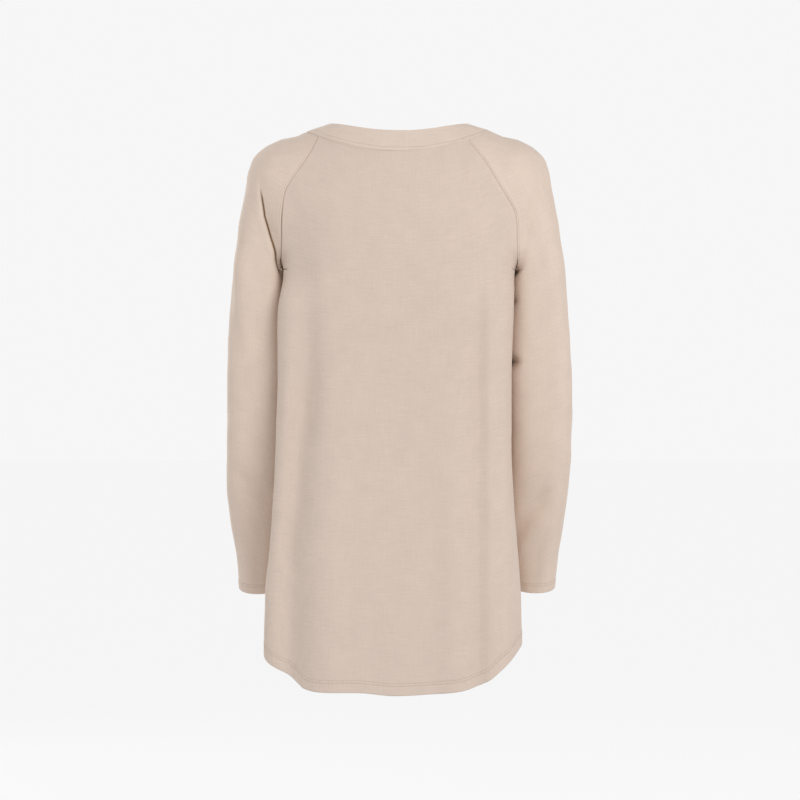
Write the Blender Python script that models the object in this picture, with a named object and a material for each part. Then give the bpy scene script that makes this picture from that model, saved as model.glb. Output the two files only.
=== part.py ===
# Long-sleeve top with raglan sleeves, a wide neck band and a curved hem, as thin cloth walls in the
# hollow form it takes when worn. Metres, +Z up. The front faces -Y and the wearer's left is +X.
# The origin is in the neck opening, level with the top of the band at its sides.

import bpy
import numpy as np

wall = 0.0016
hemWall = 0.0031
hemDeep = 0.016
cuffDeep = 0.013
seamGap = 0.00018
bandWall = 0.0028

# Body sections. left and right are half-widths at the back corners, leftSide and rightSide at the side
# seams and in front, where the arms press. back and front are depths from y = 0.
bodyColumns = ("z", "left", "right", "leftSide", "rightSide", "back", "front", "square")
bodySections = (
    (0.012, 0.070, 0.066, 0.070, 0.066, 0.041, 0.045, 2.0),
    (0.000, 0.099, 0.095, 0.099, 0.095, 0.048, 0.052, 2.0),
    (-0.0086, 0.124, 0.122, 0.124, 0.122, 0.054, 0.058, 2.0),
    (-0.0168, 0.143, 0.141, 0.143, 0.141, 0.0597, 0.063, 2.0),
    (-0.0251, 0.166, 0.163, 0.166, 0.163, 0.0658, 0.068, 2.0),
    (-0.0333, 0.181, 0.178, 0.181, 0.178, 0.0718, 0.072, 2.05),
    (-0.0415, 0.190, 0.186, 0.190, 0.186, 0.0773, 0.076, 2.1),
    (-0.0520, 0.195, 0.191, 0.195, 0.191, 0.0835, 0.081, 2.15),
    (-0.0650, 0.195, 0.190, 0.195, 0.190, 0.0895, 0.087, 2.25),
    (-0.0850, 0.188, 0.183, 0.188, 0.183, 0.0965, 0.095, 2.4),
    (-0.1050, 0.179, 0.174, 0.178, 0.173, 0.102, 0.102, 2.55),
    (-0.1300, 0.172, 0.168, 0.169, 0.165, 0.106, 0.108, 2.70),
    (-0.1600, 0.171, 0.166, 0.162, 0.158, 0.108, 0.114, 2.90),
    (-0.2000, 0.1745, 0.1650, 0.1555, 0.1535, 0.109, 0.119, 3.2),
    (-0.2600, 0.1755, 0.1600, 0.1525, 0.1500, 0.108, 0.121, 3.3),
    (-0.3500, 0.1770, 0.1565, 0.1515, 0.1485, 0.106, 0.121, 3.3),
    (-0.4300, 0.1810, 0.1565, 0.1525, 0.1480, 0.106, 0.121, 3.3),
    (-0.5000, 0.1845, 0.1600, 0.1550, 0.1490, 0.109, 0.122, 3.2),
    (-0.5700, 0.1905, 0.1690, 0.1580, 0.1515, 0.113, 0.124, 3.1),
    (-0.6400, 0.1950, 0.1730, 0.1640, 0.1560, 0.117, 0.126, 3.0),
    (-0.7100, 0.1960, 0.1735, 0.1720, 0.1600, 0.119, 0.127, 3.0),
    (-0.8000, 0.1940, 0.1720, 0.1740, 0.1620, 0.120, 0.127, 3.0),
)

# Arm sections: where the middle is, and half of the width and of the depth.
armColumns = ("z", "x", "y", "wide", "deep", "square")
leftArm = (
    (-0.030, 0.160, 0.000, 0.012, 0.020, 2.0),
    (-0.050, 0.160, 0.000, 0.034, 0.050, 2.0),
    (-0.075, 0.162, 0.000, 0.045, 0.059, 2.1),
    (-0.105, 0.166, 0.000, 0.0485, 0.063, 2.2),
    (-0.130, 0.172, -0.001, 0.0475, 0.064, 2.3),
    (-0.160, 0.181, -0.002, 0.0425, 0.064, 2.4),
    (-0.200, 0.1925, -0.004, 0.0355, 0.063, 2.5),
    (-0.270, 0.1945, -0.007, 0.0395, 0.060, 2.4),
    (-0.350, 0.1955, -0.010, 0.0413, 0.057, 2.3),
    (-0.430, 0.1967, -0.019, 0.0412, 0.053, 2.3),
    (-0.500, 0.1990, -0.034, 0.0403, 0.049, 2.3),
    (-0.550, 0.1980, -0.045, 0.0365, 0.045, 2.2),
    (-0.600, 0.1965, -0.056, 0.0305, 0.041, 2.2),
    (-0.650, 0.1965, -0.066, 0.0275, 0.038, 2.2),
)
rightArm = (
    (-0.030, -0.157, 0.000, 0.012, 0.020, 2.0),
    (-0.050, -0.157, 0.000, 0.034, 0.050, 2.0),
    (-0.075, -0.159, 0.000, 0.045, 0.059, 2.1),
    (-0.105, -0.163, 0.000, 0.0485, 0.064, 2.2),
    (-0.130, -0.168, -0.001, 0.0480, 0.066, 2.3),
    (-0.160, -0.177, -0.001, 0.0430, 0.067, 2.4),
    (-0.200, -0.1900, -0.002, 0.0350, 0.067, 2.5),
    (-0.270, -0.1920, -0.004, 0.0387, 0.064, 2.4),
    (-0.350, -0.1943, -0.008, 0.0410, 0.060, 2.3),
    (-0.430, -0.1965, -0.017, 0.0400, 0.055, 2.3),
    (-0.500, -0.1945, -0.032, 0.0378, 0.050, 2.3),
    (-0.550, -0.1920, -0.043, 0.0345, 0.046, 2.2),
    (-0.600, -0.1895, -0.055, 0.0300, 0.041, 2.2),
    (-0.650, -0.1880, -0.065, 0.0275, 0.038, 2.2),
)
underarm = -0.2045

# Raglan seams in the back view, and the plainer ones in front.
raglanColumns = ("z", "x")
leftRaglanBack = (
    (-0.0220, 0.1120), (-0.0443, 0.1220), (-0.0630, 0.1337), (-0.0808, 0.1459), (-0.0978, 0.1549),
    (-0.1140, 0.1581), (-0.1369, 0.1602), (-0.1597, 0.1608), (-0.1800, 0.1590), (-0.2000, 0.1563),
)
rightRaglanBack = (
    (-0.0254, -0.0917), (-0.0417, -0.1043), (-0.0630, -0.1194), (-0.0792, -0.1284), (-0.0994, -0.1405),
    (-0.1147, -0.1497), (-0.1280, -0.1555), (-0.1450, -0.1580), (-0.1700, -0.1570), (-0.2000, -0.1543),
)
leftRaglanFront = (
    (-0.0230, 0.1155), (-0.0400, 0.1210), (-0.0700, 0.1340), (-0.1050, 0.1500),
    (-0.1350, 0.1575), (-0.1600, 0.1590), (-0.2000, 0.1563),
)
rightRaglanFront = (
    (-0.0230, -0.1143), (-0.0400, -0.1195), (-0.0700, -0.1320), (-0.1050, -0.1480),
    (-0.1350, -0.1555), (-0.1600, -0.1570), (-0.2000, -0.1543),
)

# Neck rings in plan: half-width to each side, then depths behind and in front.
neckSeam = {"left": 0.1290, "right": 0.1270, "back": 0.0790, "front": 0.0990}
neckTop = {"left": 0.0960, "right": 0.0925, "back": 0.0570, "front": 0.0800}

# Hem height along the back, from the left side seam (0) to the right one (1), and along the front.
hemColumns = ("along", "z")
backHem = (
    (0.00, -0.690), (0.06, -0.700), (0.12, -0.714), (0.17, -0.730), (0.22, -0.744), (0.27, -0.762),
    (0.33, -0.7665), (0.42, -0.7670), (0.50, -0.7710), (0.58, -0.7690), (0.66, -0.765),
    (0.73, -0.754), (0.79, -0.734), (0.85, -0.715), (0.90, -0.706), (0.95, -0.699), (1.00, -0.690),
)
frontHem = (
    (0.00, -0.690), (0.10, -0.706), (0.20, -0.735), (0.30, -0.755), (0.42, -0.764), (0.50, -0.766),
    (0.58, -0.764), (0.70, -0.755), (0.80, -0.735), (0.90, -0.706), (1.00, -0.690),
)
cuffs = {"left": -0.6395, "right": -0.6380, "slope": 0.20}

# Folds that hang down a panel. x runs from top to bottom, deep is how far the cloth goes in (minus) or
# out, wide is the spread to each side, start and full are the heights where it begins and is whole.
foldColumns = ("topX", "lowX", "start", "full", "deep", "wide", "skew")
backFolds = (
    (0.1120, 0.1290, -0.150, -0.330, -0.0125, 0.019, 0.50),
    (0.1500, 0.1560, -0.220, -0.420, 0.0045, 0.016, 0.00),
    (0.0820, 0.0950, -0.240, -0.450, 0.0028, 0.022, 0.00),
    (-0.1030, -0.1010, -0.200, -0.420, -0.0055, 0.018, -0.20),
    (-0.1290, -0.1250, -0.150, -0.300, 0.0040, 0.014, 0.00),
    (-0.0660, -0.0640, -0.350, -0.480, 0.0030, 0.020, 0.00),
    (-0.0500, -0.0480, -0.480, -0.640, -0.0032, 0.018, 0.00),
)
frontFolds = (
    (0.0950, 0.1080, -0.200, -0.420, -0.0080, 0.024, 0.30),
    (-0.0880, -0.0980, -0.220, -0.480, -0.0075, 0.024, -0.30),
    (0.0400, 0.0350, -0.420, -0.640, -0.0040, 0.026, 0.00),
    (-0.0300, -0.0350, -0.380, -0.600, 0.0035, 0.024, 0.00),
)

# Creases across a sleeve, as short troughs between two points of the sleeve: turn is the angle from
# outwards (0) to the back (90), deep is minus for a trough.
creaseColumns = ("turnA", "zA", "turnB", "zB", "deep", "wide")
leftCreases = (
    (46.0, -0.088, 128.0, -0.200, -0.0070, 0.010),
    (100.0, -0.110, 138.0, -0.190, 0.0040, 0.012),
    (30.0, -0.170, 62.0, -0.300, -0.0035, 0.012),
    (60.0, -0.180, 84.0, -0.330, 0.0030, 0.013),
    (100.0, -0.330, 40.0, -0.400, -0.0030, 0.012),
    (120.0, -0.520, 60.0, -0.475, -0.0030, 0.010),
    (-60.0, -0.400, -130.0, -0.430, -0.0040, 0.012),
    (-70.0, -0.140, -120.0, -0.210, -0.0050, 0.012),
)
rightCreases = (
    (62.0, -0.100, 118.0, -0.200, -0.0050, 0.013),
    (150.0, -0.255, 96.0, -0.235, -0.0032, 0.009),
    (150.0, -0.330, 104.0, -0.318, -0.0045, 0.009),
    (132.0, -0.560, 84.0, -0.505, -0.0050, 0.011),
    (128.0, -0.590, 78.0, -0.545, 0.0030, 0.010),
    (60.0, -0.400, 20.0, -0.440, -0.0025, 0.014),
    (-60.0, -0.390, -130.0, -0.425, -0.0040, 0.012),
    (-70.0, -0.140, -120.0, -0.210, -0.0050, 0.012),
)


def throughRows(table, columns, name, at):
    """A named column at height (or share) at, through the rows by cubics that don't overshoot."""
    rows = np.array(sorted(table))
    x = rows[:, 0]
    y = rows[:, columns.index(name)]
    step = np.diff(x)
    slope = np.diff(y) / step
    tangent = np.empty_like(y)
    tangent[0] = slope[0]
    tangent[-1] = slope[-1]
    same = slope[:-1] * slope[1:] > 0
    both = slope[:-1] + slope[1:]
    tangent[1:-1] = np.where(same, 2 * slope[:-1] * slope[1:] / np.where(same, both, 1.0), 0.0)
    at = np.clip(np.asarray(at, float), x[0], x[-1])
    k = np.clip(np.searchsorted(x, at) - 1, 0, len(step) - 1)
    t = (at - x[k]) / step[k]
    ends = (2 * t**3 - 3 * t**2 + 1) * y[k] + (3 * t**2 - 2 * t**3) * y[k + 1]
    bends = (t**3 - 2 * t**2 + t) * tangent[k] + (t**3 - t**2) * tangent[k + 1]
    return ends + bends * step[k]


def ease(low, high, value):
    t = np.clip((value - low) / (high - low), 0.0, 1.0)
    return t * t * (3 - 2 * t)


def body(name, z):
    return throughRows(bodySections, bodyColumns, name, z)


def hangingFolds(table, x, z):
    """Sum of the folds: each is a smooth bell across x, skewed to one side, that grows downwards."""
    total = np.zeros(np.broadcast(x, z).shape)
    for row in table:
        fold = dict(zip(foldColumns, row))
        down = np.clip((fold["start"] - z) / (fold["start"] + 0.78), 0.0, 1.0)
        line = fold["topX"] + (fold["lowX"] - fold["topX"]) * down
        off = (x - line) / fold["wide"]
        off = off * (1 + fold["skew"] * np.tanh(off * -1.5))
        total += fold["deep"] * np.exp(-off * off) * ease(fold["start"], fold["full"], z)
    return total


def creases(table, x, y, z, side):
    """Short troughs on a sleeve: a bell around the line between two turns and heights, fading at its ends."""
    total = np.zeros(np.broadcast(x, y, z).shape)
    turn = np.degrees(np.arctan2(y, x * side))
    for row in table:
        crease = dict(zip(creaseColumns, row))
        mmPerDegree = 0.00085
        alongX = (crease["turnB"] - crease["turnA"]) * mmPerDegree
        alongZ = crease["zB"] - crease["zA"]
        length = np.hypot(alongX, alongZ)
        dx = (turn - crease["turnA"]) * mmPerDegree
        dz = z - crease["zA"]
        t = (dx * alongX + dz * alongZ) / length**2
        across = (dx * alongZ - dz * alongX) / length
        fade = ease(-0.25, 0.25, t) * (1 - ease(0.75, 1.25, t))
        total += crease["deep"] * np.exp(-(across / crease["wide"]) ** 2) * fade
    return total


def bodyField(x, y, z):
    """Distance out from the body's section at height z, folds included. Negative is inside."""
    middle = (body("left", z) - body("right", z)) / 2
    dx = x - middle
    r = np.hypot(dx, y)
    c = dx / np.maximum(r, 1e-9)
    s = y / np.maximum(r, 1e-9)
    atBack = ease(0.10, 0.46, s)
    halfLeft = body("leftSide", z) + (body("left", z) - body("leftSide", z)) * atBack - middle
    halfRight = body("rightSide", z) + (body("right", z) - body("rightSide", z)) * atBack + middle
    half = np.where(c > 0, halfLeft, halfRight)
    depth = np.where(s > 0, body("back", z), body("front", z))
    n = body("square", z)
    reach = ((np.abs(c) / half) ** n + (np.abs(s) / depth) ** n) ** (-1 / n)
    reach = reach + hangingFolds(backFolds, x, z) * ease(0.15, 0.45, s)
    reach = reach + hangingFolds(frontFolds, x, z) * ease(0.15, 0.45, -s)
    return r - reach


def armField(x, y, z, side):
    table = leftArm if side > 0 else rightArm
    dx = x - throughRows(table, armColumns, "x", z)
    dy = y - throughRows(table, armColumns, "y", z)
    r = np.hypot(dx, dy)
    c = dx / np.maximum(r, 1e-9)
    s = dy / np.maximum(r, 1e-9)
    wide = throughRows(table, armColumns, "wide", z)
    deep = throughRows(table, armColumns, "deep", z)
    n = throughRows(table, armColumns, "square", z)
    reach = ((np.abs(c) / wide) ** n + (np.abs(s) / deep) ** n) ** (-1 / n)
    reach = reach + creases(leftCreases if side > 0 else rightCreases, dx, dy, z, side)
    above = np.clip((z + 0.030) / 0.010, 0.0, None)
    return r - reach + above * 0.02


def wornField(x, y, z, piece="all"):
    """Body and arms joined smoothly at the shoulders, less and less so down to the underarm. For one piece
    the others are moved off below the shoulder, so that a ray leaves it there for good."""
    blend = 0.0012 + 0.030 * ease(underarm, -0.085, z)
    away = 0.0 if piece == "all" else 0.08 * ease(-0.104, -0.131, z)
    torso = bodyField(x, y, z)
    total = torso + (0.0 if piece == "body" else away)
    joins = 0.0
    for name, side in (("left", 1), ("right", -1)):
        arm = armField(x, y, z, side)
        overlap = np.maximum(blend - np.abs(torso - arm), 0.0) / blend
        joins = joins + overlap * overlap * blend / 4
        total = np.minimum(total, arm + (0.0 if piece == name else away))
    return total - joins


def firstCrossing(field, start, direction, near, far, steps=48):
    """Point on each ray where the field first turns positive, found by steps and then by halving."""
    def at(distance):
        p = start + direction * distance[..., None]
        return field(p[..., 0], p[..., 1], p[..., 2])

    low = np.full(start.shape[:-1], float(near))
    high = np.full(start.shape[:-1], float(far))
    found = np.zeros(start.shape[:-1], bool)
    for k in range(1, steps + 1):
        distance = np.full(low.shape, near + (far - near) * k / steps)
        outside = at(distance) > 0
        high = np.where(outside & ~found, distance, high)
        found |= outside
        low = np.where(found, low, distance)
    for _ in range(24):
        middle = (low + high) / 2
        outside = at(middle) > 0
        high = np.where(outside, middle, high)
        low = np.where(outside, low, middle)
    return start + direction * ((low + high) / 2)[..., None]


def normalsOf(field, points, h=0.0015):
    out = np.empty_like(points)
    for axis in range(3):
        step = np.zeros(3)
        step[axis] = h
        a = points + step
        b = points - step
        out[..., axis] = field(a[..., 0], a[..., 1], a[..., 2]) - field(b[..., 0], b[..., 1], b[..., 2])
    return out / np.maximum(np.linalg.norm(out, axis=-1, keepdims=True), 1e-12)


def onDepth(x, z, front):
    """The surface at x and height z, looking in along Y from behind or from in front."""
    sign = -1.0 if front else 1.0
    start = np.stack([x, np.full_like(x, 0.17 * sign), z], axis=-1)
    inwards = np.broadcast_to(np.array([0.0, -sign, 0.0]), start.shape)
    flipped = lambda a, b, c: -wornField(a, b, c)
    return firstCrossing(flipped, start, inwards, 0.0, 0.175, steps=90)


def ringPoint(ring, turn):
    """A neck ring at an angle from +X towards the back: an oval in plan, at the height of the worn form."""
    c = np.cos(turn)
    s = np.sin(turn)
    half = np.where(c > 0, ring["left"], ring["right"])
    depth = np.where(s > 0, ring["back"], ring["front"])
    reach = ((np.abs(c) / half) ** 2.1 + (np.abs(s) / depth) ** 2.1) ** (-1 / 2.1)
    x = reach * c
    y = reach * s
    start = np.stack([x, y, np.full_like(x, -0.13)], axis=-1)
    upwards = np.broadcast_to(np.array([0.0, 0.0, 1.0]), start.shape)
    return firstCrossing(bodyField, start, upwards, 0.0, 0.140, steps=60)


def ringTurnAt(x, front):
    """The angle where the neck seam passes x, behind or in front."""
    turn = np.linspace(0, np.pi, 721) * (-1 if front else 1)
    points = ringPoint(neckSeam, turn)
    return float(np.interp(-x, -points[:, 0], turn))


def castRows(field, centreX, turns, heights, side, far):
    """First surface point along level rays from (centreX, 0), turned from outwards towards the back."""
    start = np.stack([centreX, np.zeros_like(turns), heights], axis=-1)
    direction = np.stack([side * np.cos(turns), np.sin(turns), np.zeros_like(turns)], axis=-1)
    return firstCrossing(field, start, direction, 0.004, far)


def evenly(points, turns, columns):
    """Turns at equal steps of length along each row."""
    length = np.linalg.norm(np.diff(points, axis=1), axis=-1)
    share = np.concatenate([np.zeros((len(points), 1)), np.cumsum(length, axis=1)], axis=1)
    share /= share[:, -1:]
    wanted = np.linspace(0, 1, columns)
    return np.stack([np.interp(wanted, s, t) for s, t in zip(share, turns)])


def ringBetween(turnFrom, turnTo, columns):
    """Turns at equal steps of length along the neck seam."""
    fine = np.linspace(turnFrom, turnTo, 121)
    return evenly(ringPoint(neckSeam, fine)[None], fine[None], columns)[0]


def valley(side, y, z):
    """x halfway between body and arm at a depth y, by halving."""
    low = np.full(np.shape(z), 0.09)
    high = np.full(np.shape(z), 0.21)
    for _ in range(30):
        x = (low + high) / 2
        nearArm = bodyField(side * x, y, z) > armField(side * x, y, z, side)
        high = np.where(nearArm, x, high)
        low = np.where(nearArm, low, x)
    return side * (low + high) / 2


def valleyFoot(side, z, front):
    """The bottom of the valley between body and arm at heights z, coming in from behind or in front."""
    sign = -1.0 if front else 1.0
    out = np.full(np.shape(z), 0.13)
    inside = np.zeros(np.shape(z))
    for _ in range(30):
        y = (out + inside) / 2
        clear = wornField(valley(side, sign * y, z), sign * y, z) > 0
        out = np.where(clear, y, out)
        inside = np.where(clear, inside, y)
    y = sign * (out + inside) / 2
    return np.stack([valley(side, y, z), y, z], axis=-1)


def seamEnds(table, z, side, front):
    """Where a raglan seam lies at heights z: as drawn above, then in the valley down to the underarm."""
    foot = valleyFoot(side, z, front)
    drawn = throughRows(table, raglanColumns, "x", z)
    share = ease(-0.104, -0.1305, z)
    points = onDepth(drawn * (1 - share) + foot[:, 0] * share, z, front)
    points = np.where((share > 0.999)[:, None], foot, points)
    under = z < underarm + 1e-9
    points[under, 1] = -0.002
    points[under, 0] = valley(side, np.full(int(under.sum()), -0.002), z[under])
    return points


def unit(vectors):
    return vectors / np.maximum(np.linalg.norm(vectors, axis=-1, keepdims=True), 1e-12)


def pulledIn(grid, gap, left=True, right=True, top=True):
    """Moves edge rows and columns a little towards their neighbours, which leaves the seam gap."""
    out = grid.copy()
    wanted = ((left, (slice(None), 0), (slice(None), 1)), (right, (slice(None), -1), (slice(None), -2)),
              (top, (0,), (1,)))
    for use, edge, beside in wanted:
        if use:
            step = grid[beside] - grid[edge]
            length = np.linalg.norm(step, axis=-1, keepdims=True)
            out[edge] += step / np.maximum(length, 1e-9) * np.minimum(gap, length * 0.3)
    return out


def shell(name, outer, inner, quads, colour):
    """A closed cloth wall: outer and inner points, and a rim round every open edge."""
    count = len(outer)
    edges = set()
    for q in quads:
        for a, b in zip(q, q[1:] + q[:1]):
            if a != b:
                edges.add((a, b))
    rim = [(b, a, a + count, b + count) for a, b in sorted(edges) if (b, a) not in edges]
    back = [tuple(i + count for i in reversed(q)) for q in quads]
    faces = [tuple(dict.fromkeys(q)) for q in list(quads) + back + rim]
    mesh = bpy.data.meshes.new(name)
    mesh.from_pydata(np.concatenate([outer, inner]).tolist(), [], faces)
    mesh.update()
    obj = bpy.data.objects.new(name, mesh)
    garment.objects.link(obj)
    material = bpy.data.materials.new(name + "_cloth")
    material.use_nodes = True
    shader = material.node_tree.nodes["Principled BSDF"]
    shader.inputs["Base Color"].default_value = (*colour, 1.0)
    shader.inputs["Roughness"].default_value = 0.9
    material.diffuse_color = (*colour, 1.0)
    mesh.materials.append(material)
    return obj


def gridQuads(rows, columns, flip):
    quads = []
    for r in range(rows - 1):
        for c in range(columns - 1):
            a = r * columns + c
            q = (a, a + columns, a + columns + 1, a + 1)
            quads.append(q[::-1] if flip else q)
    return quads


def panelRows(front, side, dipShare, hemShare, columns):
    """Points of the back or front panel: rows from neck seam to hem, columns from left seam to right."""
    sign = -1.0 if front else 1.0
    left = seamEnds(leftRaglanFront if front else leftRaglanBack, side, 1, front)
    right = seamEnds(rightRaglanFront if front else rightRaglanBack, side, -1, front)
    hem = frontHem if front else backHem
    raglan = side > underarm - 1e-9
    middle = (body("left", side) - body("right", side)) / 2
    turnLeft = np.where(raglan, np.arctan2(left[:, 1], left[:, 0] - middle), 0.0)
    turnRight = np.where(raglan, np.arctan2(right[:, 1], right[:, 0] - middle), np.pi * sign)
    turnRight = np.where(turnRight * sign < 0, turnRight + sign * 2 * np.pi, turnRight)
    ringTurns = ringBetween(ringTurnAt(left[0, 0], front), ringTurnAt(right[0, 0], front), columns)
    top = ringPoint(neckSeam, ringTurns)
    along = np.linspace(0, 1, columns)
    dip = top[:, 2] - (top[0, 2] + (top[-1, 2] - top[0, 2]) * along)
    drop = throughRows(hem, hemColumns, "z", along) - hem[0][1]
    z = side[:, None] + dipShare[:, None] * dip + hemShare[:, None] * drop
    fine = np.linspace(0, 1, 161)
    turns = turnLeft[:, None] + (turnRight - turnLeft)[:, None] * fine
    zFine = np.stack([np.interp(fine, along, row) for row in z])

    def field(a, b, c):
        return wornField(a, b, c, "body")

    points = castRows(field, (body("left", zFine) - body("right", zFine)) / 2, turns, zFine, 1, 0.24)
    points[raglan, 0] = left[raglan]
    points[raglan, -1] = right[raglan]
    turns = evenly(points, turns, columns)
    points = castRows(field, (body("left", z) - body("right", z)) / 2, turns, z, 1, 0.24)
    points[0] = top
    points[1:][raglan[1:], 0] = left[1:][raglan[1:]]
    points[1:][raglan[1:], -1] = right[1:][raglan[1:]]
    return points, ringTurns


def sleeveRows(side, z, slopeShare, columns):
    """Points of a sleeve: rows from the neck seam to the cuff, columns from the back seam over the outside
    to the front seam, and right round the arm below the underarm."""
    back = seamEnds(leftRaglanBack if side > 0 else rightRaglanBack, z, side, False)
    front = seamEnds(leftRaglanFront if side > 0 else rightRaglanFront, z, side, True)
    arm = leftArm if side > 0 else rightArm
    onArm = throughRows(arm, armColumns, "x", z)
    level = throughRows(arm, armColumns, "y", z)
    axis = np.where(z < underarm, onArm, side * throughRows(sleeveAxis, ("z", "x"), "x", z))
    open_ = z > underarm + 1e-9
    turnBack = np.where(open_, np.arctan2(back[:, 1] - level, side * (back[:, 0] - axis)), np.pi)
    turnFront = np.where(open_, np.arctan2(front[:, 1] - level, side * (front[:, 0] - axis)), -np.pi)
    xs = (back[0, 0], front[0, 0])
    ends = [ringTurnAt(xs[0], False), ringTurnAt(xs[1], True)]
    if side < 0:
        ends[1] += 2 * np.pi
    ringTurns = ringBetween(ends[0], ends[1], columns)
    top = ringPoint(neckSeam, ringTurns)
    along = np.linspace(0, 1, columns)

    def field(a, b, c):
        return wornField(a, b, c, "left" if side > 0 else "right")

    def cast(turns):
        heights = np.broadcast_to(z[:, None], turns.shape)
        for _ in range(2):
            start = np.stack([np.broadcast_to(axis[:, None], turns.shape),
                              np.broadcast_to(level[:, None], turns.shape), heights], axis=-1)
            direction = np.stack([side * np.cos(turns), np.sin(turns), np.zeros_like(turns)], axis=-1)
            points = firstCrossing(field, start, direction, 0.004, 0.16)
            heights = z[:, None] - slopeShare[:, None] * (points[..., 1] - level[:, None])
        return points

    fine = np.linspace(0, 1, 121)
    turns = turnBack[:, None] + (turnFront - turnBack)[:, None] * fine
    points = cast(turns)
    points[open_, 0] = back[open_]
    points[open_, -1] = front[open_]
    turns = evenly(points, turns, columns)
    points = cast(turns)
    points[0] = top
    points[1:][open_[1:], 0] = back[1:][open_[1:]]
    points[1:][open_[1:], -1] = front[1:][open_[1:]]
    foot = np.abs(z - underarm) < 1e-9
    points[foot, 0] = back[foot]
    points[foot, -1] = back[foot]
    return points, ringTurns, int(open_.sum())


raglanHeights = (-0.022, -0.033, -0.042, -0.053, -0.067, -0.085, -0.106, -0.131, -0.156, -0.176, -0.190,
                 -0.2045)
panelHeights = raglanHeights + (-0.225, -0.258, -0.295, -0.335, -0.378, -0.422, -0.466, -0.510, -0.554,
                                -0.597, -0.637, -0.6725, -0.674, -0.690)
sleeveHeights = raglanHeights + (-0.222, -0.250, -0.285, -0.322, -0.360, -0.398, -0.435, -0.470, -0.503,
                                 -0.535, -0.565, -0.590, -0.611)
sleeveAxis = ((-0.0100, 0.085), (-0.0220, 0.092), (-0.0440, 0.112), (-0.0660, 0.130), (-0.0960, 0.150),
              (-0.1310, 0.166), (-0.1660, 0.180), (-0.2000, 0.1925))


for old in list(bpy.data.objects):
    bpy.data.objects.remove(old, do_unlink=True)
garment = bpy.data.collections.new("long_sleeve_top")
bpy.context.scene.collection.children.link(garment)

bodyColour = (0.687, 0.565, 0.482)
bandColour = (0.701, 0.578, 0.491)
sleeveColour = (0.680, 0.558, 0.470)
ringTurnLists = {}


def makePanel(name, front, columns):
    side = np.array(panelHeights)
    dipShare = 1 - ease(0.0, 1.0, (side[0] - side) / 0.120)
    hemShare = ease(-0.300, -0.6725, side)
    points, ringTurnLists[name] = panelRows(front, side, dipShare, hemShare, columns)
    thick = np.where(side < -0.6735, hemWall, wall)[:, None, None]
    normals = unit(normalsOf(lambda a, b, c: wornField(a, b, c, "body"), points))
    outer = pulledIn(points, seamGap)
    inner = outer - normals * thick
    quads = gridQuads(len(side), columns, front)
    shell(name, outer.reshape(-1, 3), inner.reshape(-1, 3), quads, bodyColour)


def makeSleeve(name, side, columns):
    cuff = cuffs["left"] if side > 0 else cuffs["right"]
    z = np.array(sleeveHeights + (cuff + cuffDeep + 0.0015, cuff + cuffDeep, cuff))
    slopeShare = cuffs["slope"] * ease(-0.420, -0.600, z)
    points, ringTurnLists[name], openRows = sleeveRows(side, z, slopeShare, columns)
    thick = np.where(z < cuff + cuffDeep + 0.0005, hemWall, wall)[:, None, None]
    normals = unit(normalsOf(lambda a, b, c: wornField(a, b, c, "left" if side > 0 else "right"), points))
    outer = points.copy()
    outer[:openRows] = pulledIn(points, seamGap)[:openRows]
    outer[openRows] = points[openRows]
    outer[openRows, 0] += unit(points[openRows + 1, 0] - points[openRows, 0]) * seamGap * 2
    inner = outer - normals * thick
    flip = side < 0
    quads = []
    for q in gridQuads(len(z), columns, not flip):
        quads.append(tuple(i - columns + 1 if i // columns >= openRows and i % columns == columns - 1 else i
                           for i in q))
    used = sorted({i for q in quads for i in q})
    place = {old: new for new, old in enumerate(used)}
    quads = [tuple(place[i] for i in q) for q in quads]
    shell(name, outer.reshape(-1, 3)[used], inner.reshape(-1, 3)[used], quads, sleeveColour)


def makeBand(name):
    """The neck band: one closed ring that meets the panels and sleeves point for point."""
    turns = []
    for key, reverse in (("back_panel", False), ("right_sleeve", False), ("front_panel", True),
                         ("left_sleeve", True)):
        part = np.mod(ringTurnLists[key], 2 * np.pi)
        part = part[::-1] if reverse else part
        turns.extend(part[:-1])
    turns = np.array(turns)
    rows = []
    for share in (0.0, 0.08, 0.92, 1.0):
        ring = {k: neckSeam[k] + (neckTop[k] - neckSeam[k]) * share for k in neckSeam}
        rows.append(ringPoint(ring, turns))
    points = np.array(rows)
    normals = unit(normalsOf(bodyField, points))
    outer = pulledIn(points, seamGap, left=False, right=False)
    lift = np.array([0.0, 0.0007, 0.0007, 0.0])[:, None, None]
    sink = np.array([bandWall * 0.6, bandWall, bandWall, bandWall * 0.6])[:, None, None]
    inner = outer - normals * sink
    outer = outer + normals * lift
    columns = len(turns)
    quads = []
    for r in range(len(rows) - 1):
        for c in range(columns):
            d = (c + 1) % columns
            quads.append((r * columns + c, r * columns + d, (r + 1) * columns + d, (r + 1) * columns + c))
    shell(name, outer.reshape(-1, 3), inner.reshape(-1, 3), quads, bandColour)


makePanel("back_panel", False, 27)
makePanel("front_panel", True, 19)
makeSleeve("left_sleeve", 1, 17)
makeSleeve("right_sleeve", -1, 17)
makeBand("neck_band")
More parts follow.
